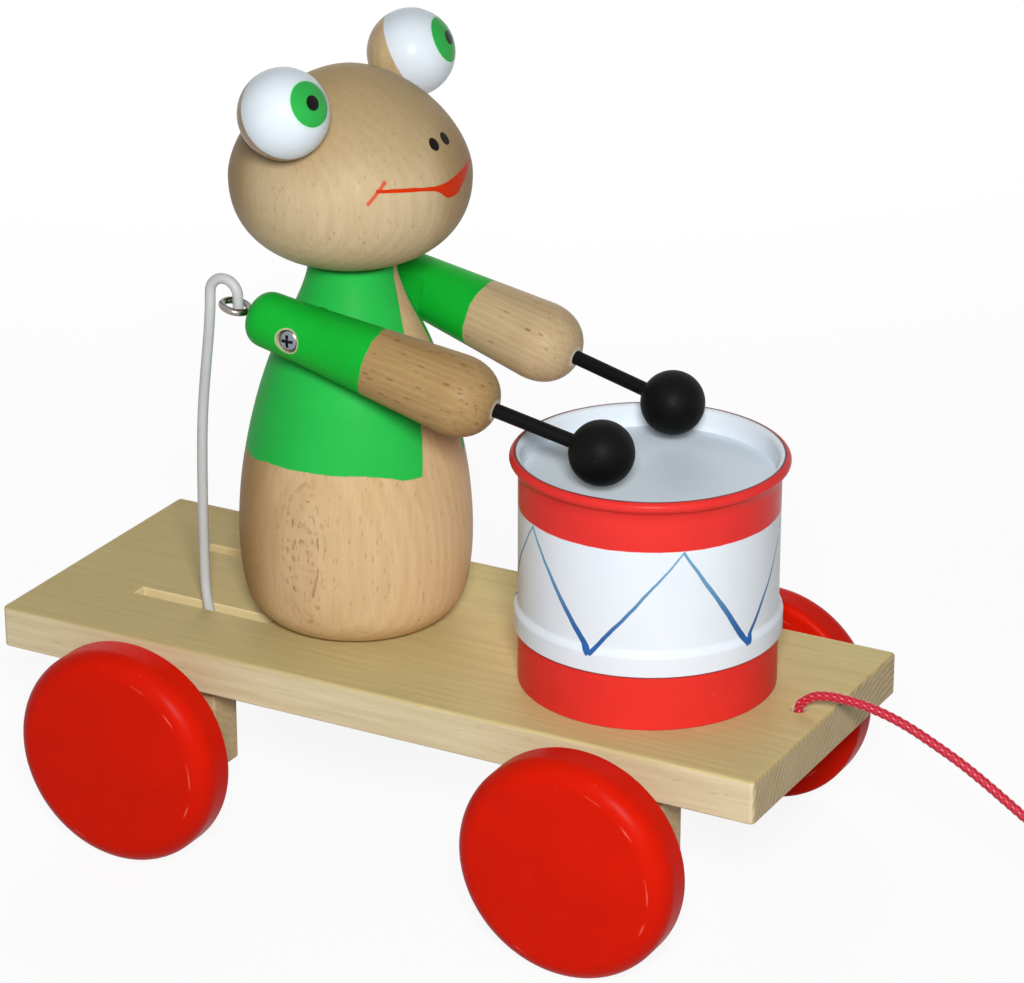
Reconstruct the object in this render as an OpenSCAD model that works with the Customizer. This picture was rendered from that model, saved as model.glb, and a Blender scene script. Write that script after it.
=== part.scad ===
// Wheeled pull toy: a turned wooden frog that beats a drum as the toy rolls.
// Millimetres. Origin on the floor under the middle of the board, +X forward, +Y to the toy's left, +Z up.
// The rear axle is cranked: it lifts two rods, and each rod tips an arm on its pivot screw.

/* [Board] */
// Length of the board, front to back
board_l = 240; // [220:1:270]
// Width of the board
board_w = 94; // [88:1:104]
// Thickness of the board
board_t = 12.5; // [11:0.5:15]
// Rounding of the board's top edges and upright corners
board_edge_r = 2.5; // [1.5:0.5:3.5]
// Width of the two rod slots
slot_w = 4.4; // [4.2:0.1:4.8]
// Length of the two rod slots
slot_l = 45; // [36:1:50]

/* [Wheels and axles] */
// Wheel diameter
wheel_d = 64; // [58:1:70]
// Wheel thickness
wheel_w = 15; // [13:1:17]
// Rounding of the wheel's outer edge
wheel_edge_r = 6.5; // [4:0.5:7]
// Distance over the outer faces of a wheel pair
track_w = 142; // [136:1:148]
// Axle wire diameter
axle_d = 4; // [3.5:0.1:4.2]
// Rear axle's distance behind the middle of the board
rear_axle_back = 69; // [66:1:74]
// Front axle's distance ahead of the middle of the board
front_axle_ahead = 73.5; // [68:0.5:78]
// Offset of the crank pin from the rear axle
crank_throw = 6.4; // [5.8:0.1:6.8]
// Axle block length along the board
block_l = 33; // [28:1:40]
// Axle block width across the board
block_w = 12; // [10:1:14]
// Height of the board's underside above the axles
block_rise = 16; // [14:1:18]

/* [Figure] */
// Distance of the figure's axis behind the middle of the board
figure_back = 28.4; // [27:0.1:30]
// Height of the turned body
body_h = 107.5; // [102:0.5:112]
// Greatest radius of the turned body
body_r = 33.4; // [31:0.2:35]
// Greatest radius of the head
head_r = 33.8; // [32:0.2:36]
// Height of the head above its widest place
head_high = 30.5; // [28:0.5:32]
// Height of the head below its widest place
head_low = 25.5; // [24:0.5:27]
// Diameter of the eye balls
eye_d = 25; // [22:0.5:27]

/* [Arms] */
// Radius of the arm at its pivot
arm_r_back = 8.2; // [7.6:0.1:8.6]
// Radius of the arm near its hand
arm_r_front = 11.3; // [10:0.1:12]
// Length of the arm ahead of its pivot
arm_front_l = 60; // [58:0.5:64]
// Length of the arm behind its pivot
arm_back_l = 16; // [15:0.5:17]
// Depth of the arm pivots below the top of the body
pivot_drop = 14; // [13.5:0.1:15.5]
// Distance of the arm's axis from the figure's middle at the pivot
pivot_y = 27.2; // [27:0.1:28.5]
// Distance from the pivot to the middle of the mallet ball
mallet_reach = 92; // [88:1:96]
// Distance of the mallet balls from the middle of the toy
mallet_y = 21.4; // [18:0.2:24]
// Diameter of the mallet balls
mallet_d = 18; // [16:0.5:20]
// Diameter of the drumsticks
stick_d = 4; // [3:0.1:5]
// Diameter of the push rods
rod_d = 3; // [2.6:0.1:3]
// Distance of the push rods from the middle of the toy at the slots
rod_y = 18.3; // [18:0.1:18.6]

/* [Drum] */
// Distance of the drum's axis ahead of the middle of the board
drum_ahead = 65; // [62:0.5:68]
// Radius of the drum's can
drum_r = 36; // [34:0.2:38]
// Height of the drum's base disc
drum_base_h = 16; // [14:0.5:18]
// Height of the drum from the board to its rim
drum_h = 67; // [64:0.5:68]
// Depth of the drum head below the rim
head_depth = 6.5; // [5:0.5:7]
// Gap between the mallets and the drum head at rest
beat_gap = 3.6; // [2.5:0.1:4.5]

/* [Pull cord] */
// Diameter of the braided cord
cord_d = 3; // [2.6:0.1:3.2]
// Diameter of the bead at the cord's end
bead_d = 18; // [16:0.5:20]

/* [Hidden] */
$fn = 96;
// Clearances: round screws and axles, between moving pieces, and in glued joints
fit = 0.1;
play = 0.3;
glue = 0.05;
// How far a cut runs past the face that it starts from
past = 1;

// Screws
screw_point_d = 0.4;
cross_w = 0.9;

// Heights
axle_z = wheel_d / 2;
board_z = axle_z + block_rise;
deck_z = board_z + board_t;
block_foot = 12;
block_z = axle_z - block_foot;

// Axles, wheels and blocks
rear_x = -rear_axle_back;
front_x = front_axle_ahead;
wheel_out = track_w / 2;
wheel_in = wheel_out - wheel_w;
wheel_crown = 0.8;
wheel_inner_r = 2;
wheel_cap = 5;
axle_depth = wheel_w - wheel_cap;
block_out = 40;
block_y = block_out - block_w / 2;
spacer_d = 9;
block_screw_inset = 8;
block_screw_x = block_l / 2 - block_screw_inset;
block_screw_d = 3.5;
block_screw_head = 7;
block_screw_bite = 8;
block_screw_l = block_rise + block_foot + block_screw_bite;
// The crank pin lies ahead of and above the axle at rest, in line with the rods' feet
crank_angle = 45;
crank_pin_x = rear_x + crank_throw * cos(crank_angle);
crank_pin_z = axle_z + crank_throw * sin(crank_angle);
crank_gap = 2.8;
crank_half = rod_y - rod_d / 2 - axle_d / 2 - crank_gap;

// Figure
figure_x = -figure_back;
body_top_z = deck_z + body_h;
figure_screw_d = 5;
figure_screw_head = 10;
figure_screw_bite = 29.5;
neck_dowel_d = 10;
neck_dowel_l = 24;
// Turned profile of the body: height as a share of body_h, radius as a share of body_r
body_shape = [[0, 0.66], [0.022, 0.8], [0.07, 0.925], [0.15, 0.982], [0.26, 1], [0.39, 0.972], [0.52, 0.9],
              [0.65, 0.792], [0.78, 0.64], [0.88, 0.478], [0.95, 0.39], [1, 0.36]];
body_path = smooth([for (p = body_shape) [p[1] * body_r, p[0] * body_h]], 5);
// Head: a turned bun, fuller below its widest place and leaner above it
chin_flat = 1;
head_mid_z = body_top_z + head_low - chin_flat;
low_power = 2.3;
high_power = 1.7;
// Each eye sits with a small flat on a flat of the head, in the direction eye_angle above the level
eye_r = eye_d / 2;
eye_angle = 37;
eye_flat_r = 2.5;
eye_sink = 0.2;
eye_seat_r = 6.5;
eye_seat = polar_reach(eye_angle) - eye_sink;
eye_reach = eye_seat + sqrt(eye_r * eye_r - eye_flat_r * eye_flat_r);
eye_dowel_d = 4;
eye_dowel_l = 18;

// Drum
drum_x = drum_ahead;
drum_wall = 1;
drum_collar = 1.2;
drum_collar_h = 8;
drum_shoulder_h = 2.6;
drum_rim_r = 1.6;
drum_spigot_h = 6;
drum_rim_z = deck_z + drum_h;
skin_z = drum_rim_z - head_depth;
skin_t = 1;
drum_screw_y = 18;
drum_screw_d = 4;
drum_screw_head = 8;
drum_screw_bite = 9.5;

// Arms: the slope follows from the heights of the pivot and the mallet
pivot_z = body_top_z - pivot_drop;
mallet_r = mallet_d / 2;
mallet_z = skin_z + beat_gap + mallet_r;
arm_slope = asin((mallet_z - pivot_z) / mallet_reach);
arm_toe = asin((pivot_y - mallet_y) / (mallet_reach * cos(arm_slope)));
arm_dir = [cos(arm_slope) * cos(arm_toe), -cos(arm_slope) * sin(arm_toe), sin(arm_slope)];
pivot = [figure_x, pivot_y, pivot_z];
pivot_screw_d = 3;
pivot_head_d = 5.6;
pivot_head_h = 2;
pivot_sink_d = 6.6;
pivot_sink = 3;
washer_d = 8;
pivot_screw_start = 6;
pivot_point_l = 4;
body_face_cut = 0.4;
body_flat_d = 2 * arm_r_back + 2;
arm_face_cut = 0.9;
arm_flat_d = 3 * arm_r_back;
body_face_y = radius_at(pivot_z - deck_z) - body_face_cut;
arm_face_y = pivot_y - arm_r_back + arm_face_cut;
stick_seat = 13;
hand_l = 12.5;
heel_l = 6.5;

// Screw eyes and push rods
eye_wire = 2;
ring_r = 3.8;
shank_shown = 0.2;
shank_bite = 8;
ring_reach = arm_back_l + ring_r + eye_wire / 2 + shank_shown;
ring = pivot - ring_reach * arm_dir;
arch_r = 4.5;
arch_rise = 3;
hook_drop = 3.6;
// The hook hangs against the front of the ring
hook_ahead = 0.8;
// The rod's foot passes just ahead of the axle
rod_foot_x = crank_pin_x;
rod_lean = 3.3;
rod_deck_x = rod_foot_x - rod_lean;
foot_z = crank_pin_z;
toe_gap = 0.4;
toe_y = crank_half + axle_d / 2 + toe_gap;
rod_top = [ring[0] + hook_ahead - 2 * arch_r, ring[1], ring[2] + arch_rise];
rod_knee = [rod_deck_x - 0.8, rod_y, deck_z + 15];
rod_bow = [-2.4, 0.6, 0];
rod_foot = [rod_foot_x, rod_y, foot_z];
rod_leg = smooth([rod_foot + [0, 0, rod_d], [rod_foot_x, rod_y, board_z - 1],
                  [rod_deck_x, rod_y, deck_z + 1], rod_knee,
                  (rod_top + rod_knee) / 2 + rod_bow, rod_top - [0, 0, 10], rod_top], 5);
rod_arch = [for (a = [165:-15:15]) rod_top + [arch_r + arch_r * cos(a), 0, arch_r * sin(a)]];
rod_hook = [for (dz = [arch_rise, 0, -hook_drop]) ring + [hook_ahead, 0, dz]];
rod_path = concat([rod_foot], rod_leg, rod_arch, rod_hook);

// Pull cord: out of its hole, over the front edge, down to the floor and into the coil
cord_inset = 9;
cord_x = board_l / 2 - cord_inset;
cord_hole_d = cord_d + 1;
knot_d = 7;
knot_h = 6;
// Heights above the deck until the cord is past the board, then above the floor
cord_lift = [[0, -board_t - 0.6], [0, -6], [0.4, 0.6], [2.3, 3], [5, 4.8], [9, 5.7], [14.6, 5.8],
             [21, 5.1], [27.5, 3.6], [33.6, 1.5], [41, -1.8], [48.5, -5.5], [56, -9.9], [63.4, -14.6]];
cord_fall = [[75, 38.4], [82, 32.5], [88, 26.5], [93, 20.5], [97.5, 14.8], [102.5, 9.4], [108.5, 5.4],
             [115, 3.4], [120, 2.8], [124, 2.8]];
cord_path = smooth(concat([for (p = cord_lift) [cord_x + p[0], 0, deck_z + p[1]]],
                          [for (p = cord_fall) [cord_x + p[0], 0, p[1]]]), 2);

// Coil: in along the lower layer, up where the spiral turns back, and out along the upper layer
coil_low_z = 2.8;
coil_step = cord_d + 0.6;
coil_lift = cord_d + 0.5;
coil_out_r = 20.1;
coil_turns = 5.5;
coil_rings = 24;
coil_mid = [cord_path[len(cord_path) - 1][0] + cord_d, coil_out_r];
coil_loops = [for (i = [0:coil_turns * coil_rings])
    let (turn = i / coil_rings,
         a = 360 * turn - 90,
         from_back = turn - coil_turns / 2,
         r = coil_out_r - coil_step * (coil_turns / 2 - abs(from_back)),
         rise = min(max(from_back * 2 + 0.5, 0), 1))
    [coil_mid[0] + r * cos(a), coil_mid[1] + r * sin(a), coil_low_z + coil_lift * rise]];
coil_start = coil_loops[0] - [cord_d, 0, 0];
tail_y = coil_mid[1] + coil_out_r;
bead_z = bead_d / 2;
bead_x = coil_mid[0] - 26;
tail_end_x = bead_x - bead_d / 2 - 0.4;
coil_top_z = coil_low_z + coil_lift;
coil_tail = [[coil_mid[0] - 4, tail_y, coil_top_z], [coil_mid[0] - 9, tail_y, coil_top_z + 0.8],
             [coil_mid[0] - 13, tail_y, bead_z - 0.5], [coil_mid[0] - 16, tail_y, bead_z],
             [bead_x, tail_y, bead_z], [tail_end_x, tail_y, bead_z]];
coil_path = concat([coil_start], coil_loops, coil_tail);
coil_gap = min([for (i = [0:len(coil_loops) - 1], j = [i + 12:len(coil_loops) - 1])
    if (j < len(coil_loops)) norm(coil_loops[i] - coil_loops[j])]) - cord_d;
echo(coil_least_gap_mm = coil_gap);
echo(cord_length_mm = path_length(cord_path) + path_length(coil_path));

// Colours
beech = [0.85, 0.70, 0.50];
pale_wood = [0.88, 0.77, 0.58];
red = [0.82, 0.10, 0.07];
green = [0.12, 0.66, 0.22];
white = [0.93, 0.94, 0.95];
black = [0.06, 0.06, 0.06];
steel = [0.70, 0.71, 0.73];
plastic = [0.88, 0.89, 0.90];
cord_red = [0.80, 0.16, 0.26];

// Length of a path of points
function path_length(p, i = 0) = i >= len(p) - 1 ? 0 : norm(p[i + 1] - p[i]) + path_length(p, i + 1);

// A smooth curve through the points p, with n steps from each point to the next
function spline(a, b, c, d, t) = 0.5 * (2 * b + (c - a) * t + (2 * a - 5 * b + 4 * c - d) * t * t
                                        + (3 * b - a - 3 * c + d) * t * t * t);
function smooth(p, n) = concat([for (i = [0:len(p) - 2], k = [0:n - 1])
    spline(p[max(i - 1, 0)], p[i], p[i + 1], p[min(i + 2, len(p) - 1)], k / n)], [p[len(p) - 1]]);

// Radius of the turned body at the height h above the board
function radius_at(h) = lookup(h, [for (p = body_path) [p[1], p[0]]]);

// Radius of the head at a share t of its upper or lower half
function bun(t, power) = head_r * pow(max(1 - pow(t, power), 0), 1 / power);

// Distance from the head's middle to its upper surface at the elevation a
function polar_reach(a) = pow(pow(cos(a) / head_r, high_power) + pow(sin(a) / head_high, high_power),
                              -1 / high_power);

function unit(v) = v / norm(v);
function heading(p, i) = unit(p[min(i + 1, len(p) - 1)] - p[max(i - 1, 0)]);

// A round tube along the path p. side is a direction that the path never runs along.
module tube(p, d, sides, side) {
    rings = len(p);
    points = [for (i = [0:rings - 1])
        let (t = heading(p, i), u = unit(cross(side, t)), v = cross(t, u))
        for (k = [0:sides - 1]) p[i] + d / 2 * (cos(360 * k / sides) * u + sin(360 * k / sides) * v)];
    walls = [for (i = [0:rings - 2], k = [0:sides - 1])
        let (a = i * sides + k, d = i * sides + (k + 1) % sides)
        each [[a, a + sides, d + sides], [a, d + sides, d]]];
    last = (rings - 1) * sides;
    caps = [for (k = [1:sides - 2]) each [[0, k, k + 1], [last, last + k + 1, last + k]]];
    polyhedron(points = points, faces = concat(walls, caps), convexity = 6);
}

// A turned piece whose axis runs along +X, from a profile of [place along the axis, radius]
module turned_x(profile) {
    rotate([0, 90, 0])
        rotate_extrude()
            polygon([for (p = profile) [p[1], p[0]]]);
}

// Rounded end of a turned piece: a quarter of an oval from the radius r down to the axis
function end_arc(x, l, r, power, n = 10) = [for (i = [0:n])
    let (a = 90 * i / n) [x + l * pow(sin(a), 2 / power), r * pow(cos(a), 2 / power)]];

// Countersunk wood screw: head face at z = 0, pointing down
module countersunk_screw(d, l, head_d) {
    cone_h = (head_d - d) / 2;
    tip = 1.6 * d;
    difference() {
        union() {
            translate([0, 0, -cone_h]) cylinder(d1 = d, d2 = head_d, h = cone_h);
            translate([0, 0, -l + tip]) cylinder(d = d, h = l - tip);
            translate([0, 0, -l]) cylinder(d1 = screw_point_d, d2 = d, h = tip);
        }
        cross_recess(0.6 * head_d, 0.55 * cone_h + 0.6);
    }
}

// Round hole with a countersink for that screw, cut from z = 0 downwards
module countersink(d, l, head_d) {
    cone_h = (head_d - d) / 2;
    translate([0, 0, -cone_h - fit]) cylinder(d1 = d + 2 * fit, d2 = head_d + 2 * fit, h = cone_h + fit);
    translate([0, 0, -l - play]) cylinder(d = d + 2 * fit, h = l + play);
    translate([0, 0, -fit / 2]) cylinder(d = head_d + 2 * fit, h = past);
}

// Cross-shaped driver recess in a screw head
module cross_recess(w, depth) {
    for (turn = [0, 90])
        rotate(turn)
            translate([-w / 2, -cross_w / 2, -depth]) cube([w, cross_w, depth + past]);
}

// Places its children for the left (+Y) or right (-Y) side
module side(left) {
    if (left) {
        children();
    } else {
        mirror([0, 1, 0]) children();
    }
}

// Moves its children from the arm's own axis, pivot at the origin and hand along +X, to the left arm's place
module on_arm() {
    translate(pivot)
        rotate([0, 0, -arm_toe])
            rotate([0, -arm_slope, 0])
                children();
}

module along_y() {
    rotate([-90, 0, 0]) children();
}

// Board with rounded top edges, rod slots, cord hole and holes for the screws from below
module base_board() {
    color(pale_wood)
    difference() {
        intersection() {
            translate([0, 0, board_z])
                linear_extrude(board_t)
                    rounded_rect(board_l, board_w, board_edge_r, board_edge_r);
            translate([-board_l / 2, 0, board_z])
                rotate([90, 0, 90])
                    linear_extrude(board_l)
                        translate([0, board_t / 2]) rounded_rect(board_w, board_t, board_edge_r, 0.6);
            translate([0, board_w / 2, board_z])
                rotate([90, 0, 0])
                    linear_extrude(board_w)
                        translate([0, board_t / 2]) rounded_rect(board_l, board_t, board_edge_r, 0.6);
        }
        for (y = [-rod_y, rod_y])
            translate([rear_x - slot_l / 2, y - slot_w / 2, board_z - past])
                cube([slot_l, slot_w, board_t + 2 * past]);
        translate([cord_x, 0, board_z - past]) cylinder(d = cord_hole_d, h = board_t + 2 * past);
        figure_screw_place() countersink(figure_screw_d, board_t + figure_screw_bite, figure_screw_head);
        drum_screw_places() countersink(drum_screw_d, board_t + drum_screw_bite, drum_screw_head);
        for (x = [rear_x, front_x], left = [true, false])
            side(left)
                block_screw_places(x)
                    translate([0, 0, -block_screw_l - play])
                        cylinder(d = block_screw_d + 2 * fit, h = block_screw_bite + play + past);
    }
}

// Rectangle with the radius r_top at its upper corners and r_low at its lower ones
module rounded_rect(w, h, r_top, r_low) {
    corners = [[w / 2, h / 2, r_top, 0], [-w / 2, h / 2, r_top, 90],
               [-w / 2, -h / 2, r_low, 180], [w / 2, -h / 2, r_low, 270]];
    polygon([for (c = corners, i = [0:6])
        let (a = c[3] + 15 * i,
             middle = [c[0] - sign(c[0]) * c[2], c[1] - sign(c[1]) * c[2]])
        middle + c[2] * [cos(a), sin(a)]]);
}

module figure_screw_place() {
    translate([figure_x, 0, board_z]) rotate([180, 0, 0]) children();
}

module drum_screw_places() {
    for (y = [-drum_screw_y, drum_screw_y])
        translate([drum_x, y, board_z]) rotate([180, 0, 0]) children();
}

// The two screws of the left block on the axle at x, heads at the block's foot
module block_screw_places(x) {
    for (dx = [-block_screw_x, block_screw_x])
        translate([x + dx, block_y, block_z]) rotate([180, 0, 0]) children();
}

// Wooden axle block under the board, left side, with its bearing hole
module axle_block(x) {
    color(pale_wood)
    difference() {
        translate([x - block_l / 2, block_out - block_w, block_z])
            cube([block_l, block_w, block_rise + block_foot]);
        translate([x, block_out - block_w - past, axle_z])
            along_y() cylinder(d = axle_d + fit, h = block_w + 2 * past);
        block_screw_places(x) countersink(block_screw_d, block_screw_l, block_screw_head);
    }
}

module block_screws(x) {
    color(steel)
    for (left = [true, false])
        side(left)
            block_screw_places(x)
                countersunk_screw(block_screw_d, block_screw_l, block_screw_head);
}

// Straight front axle
module front_axle() {
    color(steel)
    translate([front_x, -wheel_in - axle_depth, axle_z])
        along_y() cylinder(d = axle_d, h = 2 * (wheel_in + axle_depth));
}

// Rear axle bent into a crank between the two rods
module rear_axle() {
    reach = wheel_in + axle_depth;
    color(steel) {
        for (left = [true, false])
            side(left) {
                translate([rear_x, crank_half, axle_z])
                    along_y() cylinder(d = axle_d, h = reach - crank_half);
                translate([rear_x, crank_half, axle_z]) {
                    sphere(d = axle_d);
                    rotate([0, 90 - crank_angle, 0]) cylinder(d = axle_d, h = crank_throw);
                }
                translate([crank_pin_x, crank_half, crank_pin_z]) sphere(d = axle_d);
            }
        translate([crank_pin_x, -crank_half, crank_pin_z])
            along_y() cylinder(d = axle_d, h = 2 * crank_half);
    }
}

// Solid wheel with a crowned outer face, turned in wood, left side
module wheel(x) {
    r = wheel_d / 2;
    e = wheel_edge_r;
    inner_e = wheel_inner_r;
    face_r = r - e;
    color(red)
    translate([x, wheel_in, axle_z])
        along_y()
            difference() {
                rotate_extrude()
                    polygon(concat(
                        [[0, 0]],
                        [for (a = [-90:15:0]) [r - inner_e + inner_e * cos(a), inner_e + inner_e * sin(a)]],
                        [for (a = [0:7.5:90]) [face_r + e * cos(a), wheel_w - wheel_crown - e + e * sin(a)]],
                        [for (i = [1:8]) [face_r * (1 - i / 8),
                                          wheel_w - wheel_crown + wheel_crown * (1 - pow(1 - i / 8, 2))]]));
                translate([0, 0, -past]) cylinder(d = axle_d + 2 * glue, h = axle_depth + past + fit);
            }
}

// Sleeve that keeps the wheel off the block, left side
module axle_spacer(x) {
    l = wheel_in - block_out - 2 * play;
    color(beech)
    translate([x, block_out + play, axle_z])
        along_y()
            difference() {
                cylinder(d = spacer_d, h = l + play);
                translate([0, 0, -past]) cylinder(d = axle_d + 2 * glue, h = l + 2 * past);
            }
}

// Turned body with its neck, faces for the arm washers and holes for dowel and screws
module figure_body() {
    color(beech)
    difference() {
        translate([figure_x, 0, deck_z])
            rotate_extrude()
                polygon(concat([[0, 0]], body_path, [[0, body_h]]));
        figure_screw_place() countersink(figure_screw_d, board_t + figure_screw_bite, figure_screw_head);
        translate([figure_x, 0, body_top_z - neck_dowel_l / 2])
            cylinder(d = neck_dowel_d + 2 * glue, h = neck_dowel_l);
        for (left = [true, false])
            side(left) {
                translate([figure_x, body_face_y, pivot_z])
                    along_y() cylinder(d = body_flat_d, h = body_r);
                translate([figure_x, pivot_screw_start - play, pivot_z])
                    along_y() cylinder(d = pivot_screw_d + 2 * fit, h = body_r);
            }
    }
}

module figure_screw() {
    color(steel)
    figure_screw_place() countersunk_screw(figure_screw_d, board_t + figure_screw_bite, figure_screw_head);
}

module neck_dowel() {
    color(beech)
    translate([figure_x, 0, body_top_z - neck_dowel_l / 2 + glue])
        cylinder(d = neck_dowel_d, h = neck_dowel_l - 2 * glue);
}

// Turned head, flat under the chin and with a small flat under each eye
module head() {
    steps = 16;
    chin = (head_mid_z - body_top_z) / head_low;
    color(beech)
    difference() {
        translate([figure_x, 0, head_mid_z])
            rotate_extrude()
                polygon(concat(
                    [[0, -chin * head_low]],
                    [for (i = [0:steps]) let (t = chin * (1 - i / steps)) [bun(t, low_power), -t * head_low]],
                    [for (i = [1:steps]) let (t = sin(90 * i / steps)) [bun(t, high_power), t * head_high]]));
        translate([figure_x, 0, body_top_z - past])
            cylinder(d = neck_dowel_d + 2 * glue, h = neck_dowel_l / 2 + past);
        for (left = [true, false])
            side(left)
                eye_axis() {
                    translate([0, 0, eye_seat]) cylinder(r = eye_seat_r, h = eye_r);
                    translate([0, 0, eye_seat - eye_dowel_l / 2])
                        cylinder(d = eye_dowel_d + 2 * glue, h = eye_dowel_l);
                }
    }
}

// From the head's middle towards the left eye, which lies along +Z here
module eye_axis() {
    translate([figure_x, 0, head_mid_z]) rotate([eye_angle - 90, 0, 0]) children();
}

module eye() {
    color(white)
    difference() {
        eye_axis() translate([0, 0, eye_reach]) sphere(r = eye_r);
        eye_axis() {
            translate([0, 0, eye_seat - eye_r]) cylinder(r = eye_r, h = eye_r);
            translate([0, 0, eye_seat - past])
                cylinder(d = eye_dowel_d + 2 * glue, h = eye_dowel_l / 2 + past);
        }
    }
}

module eye_dowel() {
    color(beech)
    eye_axis()
        translate([0, 0, eye_seat - eye_dowel_l / 2 + glue])
            cylinder(d = eye_dowel_d, h = eye_dowel_l - 2 * glue);
}

// Washer between the body and the arm
module pivot_washer() {
    color(beech)
    translate([figure_x, body_face_y, pivot_z])
        along_y()
            difference() {
                cylinder(d = washer_d, h = arm_face_y - play - body_face_y);
                translate([0, 0, -past]) cylinder(d = pivot_screw_d + 2 * fit, h = pivot_y);
            }
}

// Pan-head screw that the arm swings on
module pivot_screw() {
    floor_y = pivot_y + arm_r_back - pivot_sink;
    l = floor_y - pivot_screw_start;
    edge = 0.45 * pivot_head_h;
    color(steel)
    translate([figure_x, floor_y + play / 2, pivot_z])
        along_y()
            difference() {
                union() {
                    rotate_extrude()
                        polygon(concat([[0, 0], [pivot_head_d / 2, 0], [pivot_head_d / 2, edge]],
                                       [for (a = [15:15:90]) [pivot_head_d / 2 * cos(a),
                                                              edge + (pivot_head_h - edge) * sin(a)]]));
                    translate([0, 0, -l + pivot_point_l]) cylinder(d = pivot_screw_d, h = l - pivot_point_l);
                    translate([0, 0, -l]) cylinder(d1 = screw_point_d, d2 = pivot_screw_d, h = pivot_point_l);
                }
                translate([0, 0, pivot_head_h]) cross_recess(0.62 * pivot_head_d, 0.65 * pivot_head_h);
            }
}

// Club-shaped turned arm, left side
module arm() {
    taper = [[0, arm_r_back], [arm_front_l - hand_l, arm_r_front]];
    heel_r = arm_r_back - play;
    heel = end_arc(0, heel_l, heel_r, 2.5);
    hand = end_arc(arm_front_l - hand_l, hand_l, arm_r_front, 2.2);
    color(green)
    difference() {
        on_arm()
            turned_x(concat(
                [for (i = [len(heel) - 1:-1:0]) [-arm_back_l + heel_l - heel[i][0], heel[i][1]]],
                [taper[0]], hand));
        on_arm() {
            translate([arm_front_l - stick_seat, 0, 0])
                rotate([0, 90, 0]) cylinder(d = stick_d + 2 * glue, h = stick_seat + past);
            translate([-arm_back_l - past, 0, 0])
                rotate([0, 90, 0]) cylinder(d = eye_wire + 2 * glue, h = shank_bite + 2 * past);
        }
        translate([figure_x, arm_face_y - arm_r_back, pivot_z])
            along_y() cylinder(d = arm_flat_d, h = arm_r_back);
        translate([figure_x, 0, pivot_z])
            along_y() cylinder(d = pivot_screw_d + 1.6 * fit, h = 2 * pivot_y);
        translate([figure_x, pivot_y + arm_r_back - pivot_sink, pivot_z])
            along_y() cylinder(d = pivot_sink_d, h = 2 * arm_r_back);
    }
}

module drumstick() {
    color(black)
    on_arm()
        translate([arm_front_l - stick_seat + play, 0, 0])
            rotate([0, 90, 0]) cylinder(d = stick_d, h = mallet_reach + 2 - arm_front_l + stick_seat - play);
}

module mallet() {
    color(black)
    difference() {
        on_arm() translate([mallet_reach, 0, 0]) sphere(d = mallet_d);
        on_arm()
            translate([mallet_reach - mallet_d, 0, 0])
                rotate([0, 90, 0]) cylinder(d = stick_d + 2 * glue, h = mallet_d + 2 + play);
    }
}

// Screw eye in the arm's heel, its ring level with the arm
module screw_eye() {
    color(steel)
    on_arm() {
        translate([-ring_reach + ring_r, 0, 0])
            rotate([0, 90, 0]) cylinder(d = eye_wire, h = ring_reach - ring_r - arm_back_l + shank_bite);
        translate([-ring_reach, 0, 0])
            rotate_extrude()
                translate([ring_r, 0]) circle(d = eye_wire, $fn = 24);
    }
}

// Push rod: foot beside the crank, leg up through the slot, and a hook over and down through the screw eye
module push_rod() {
    sides = 12;
    color(plastic) {
        tube(rod_path, rod_d, sides, [0, 1, 0]);
        translate([rod_foot_x, rod_y, foot_z]) sphere(d = rod_d, $fn = 24);
        translate([rod_foot_x, toe_y, foot_z])
            along_y() cylinder(d = rod_d, h = rod_y - toe_y, $fn = 24);
    }
}

// Painted disc that the drum's can stands on
module drum_base() {
    spigot_r = drum_r - drum_wall - glue;
    spigot_z = drum_base_h + drum_spigot_h;
    color(red)
    difference() {
        translate([drum_x, 0, deck_z])
            rotate_extrude()
                polygon([[0, 0], [drum_r, 0], [drum_r, drum_base_h], [spigot_r, drum_base_h],
                         [spigot_r, spigot_z], [0, spigot_z]]);
        drum_screw_places() countersink(drum_screw_d, board_t + drum_screw_bite, drum_screw_head);
    }
}

// Tin can with a collar round its foot and a rolled rim
module drum_shell() {
    wall_in = drum_r - drum_wall;
    shoulder_z = drum_base_h + drum_collar_h - drum_shoulder_h;
    foot_r = 0.5;
    rim = [drum_r + drum_rim_r / 2, drum_h - drum_rim_r];
    color(white)
    translate([drum_x, 0, deck_z])
        rotate_extrude()
            polygon(concat(
                [[wall_in, drum_base_h], [drum_r + drum_collar - foot_r, drum_base_h],
                 [drum_r + drum_collar, drum_base_h + foot_r]],
                [for (a = [0:15:180]) [drum_r + drum_collar * (1 + cos(a)) / 2,
                                       shoulder_z + drum_shoulder_h * a / 180]],
                [[drum_r, rim[1] - 1.8 * drum_rim_r]],
                [for (a = [-75:15:180]) [rim[0] + drum_rim_r * cos(a), rim[1] + drum_rim_r * sin(a)]],
                [[wall_in, drum_h - 3 * drum_rim_r]]));
}

// Drum head, set below the rim
module drum_skin() {
    color(white)
    translate([drum_x, 0, skin_z - skin_t])
        cylinder(r = drum_r - drum_wall - glue, h = skin_t);
}

module drum_screws() {
    color(steel)
    drum_screw_places() countersunk_screw(drum_screw_d, board_t + drum_screw_bite, drum_screw_head);
}

module pull_cord() {
    color(cord_red) tube(cord_path, cord_d, 8, [0, 1, 0]);
}

module pull_cord_coil() {
    color(cord_red) tube(coil_path, cord_d, 6, [0, 0, 1]);
}

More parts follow.
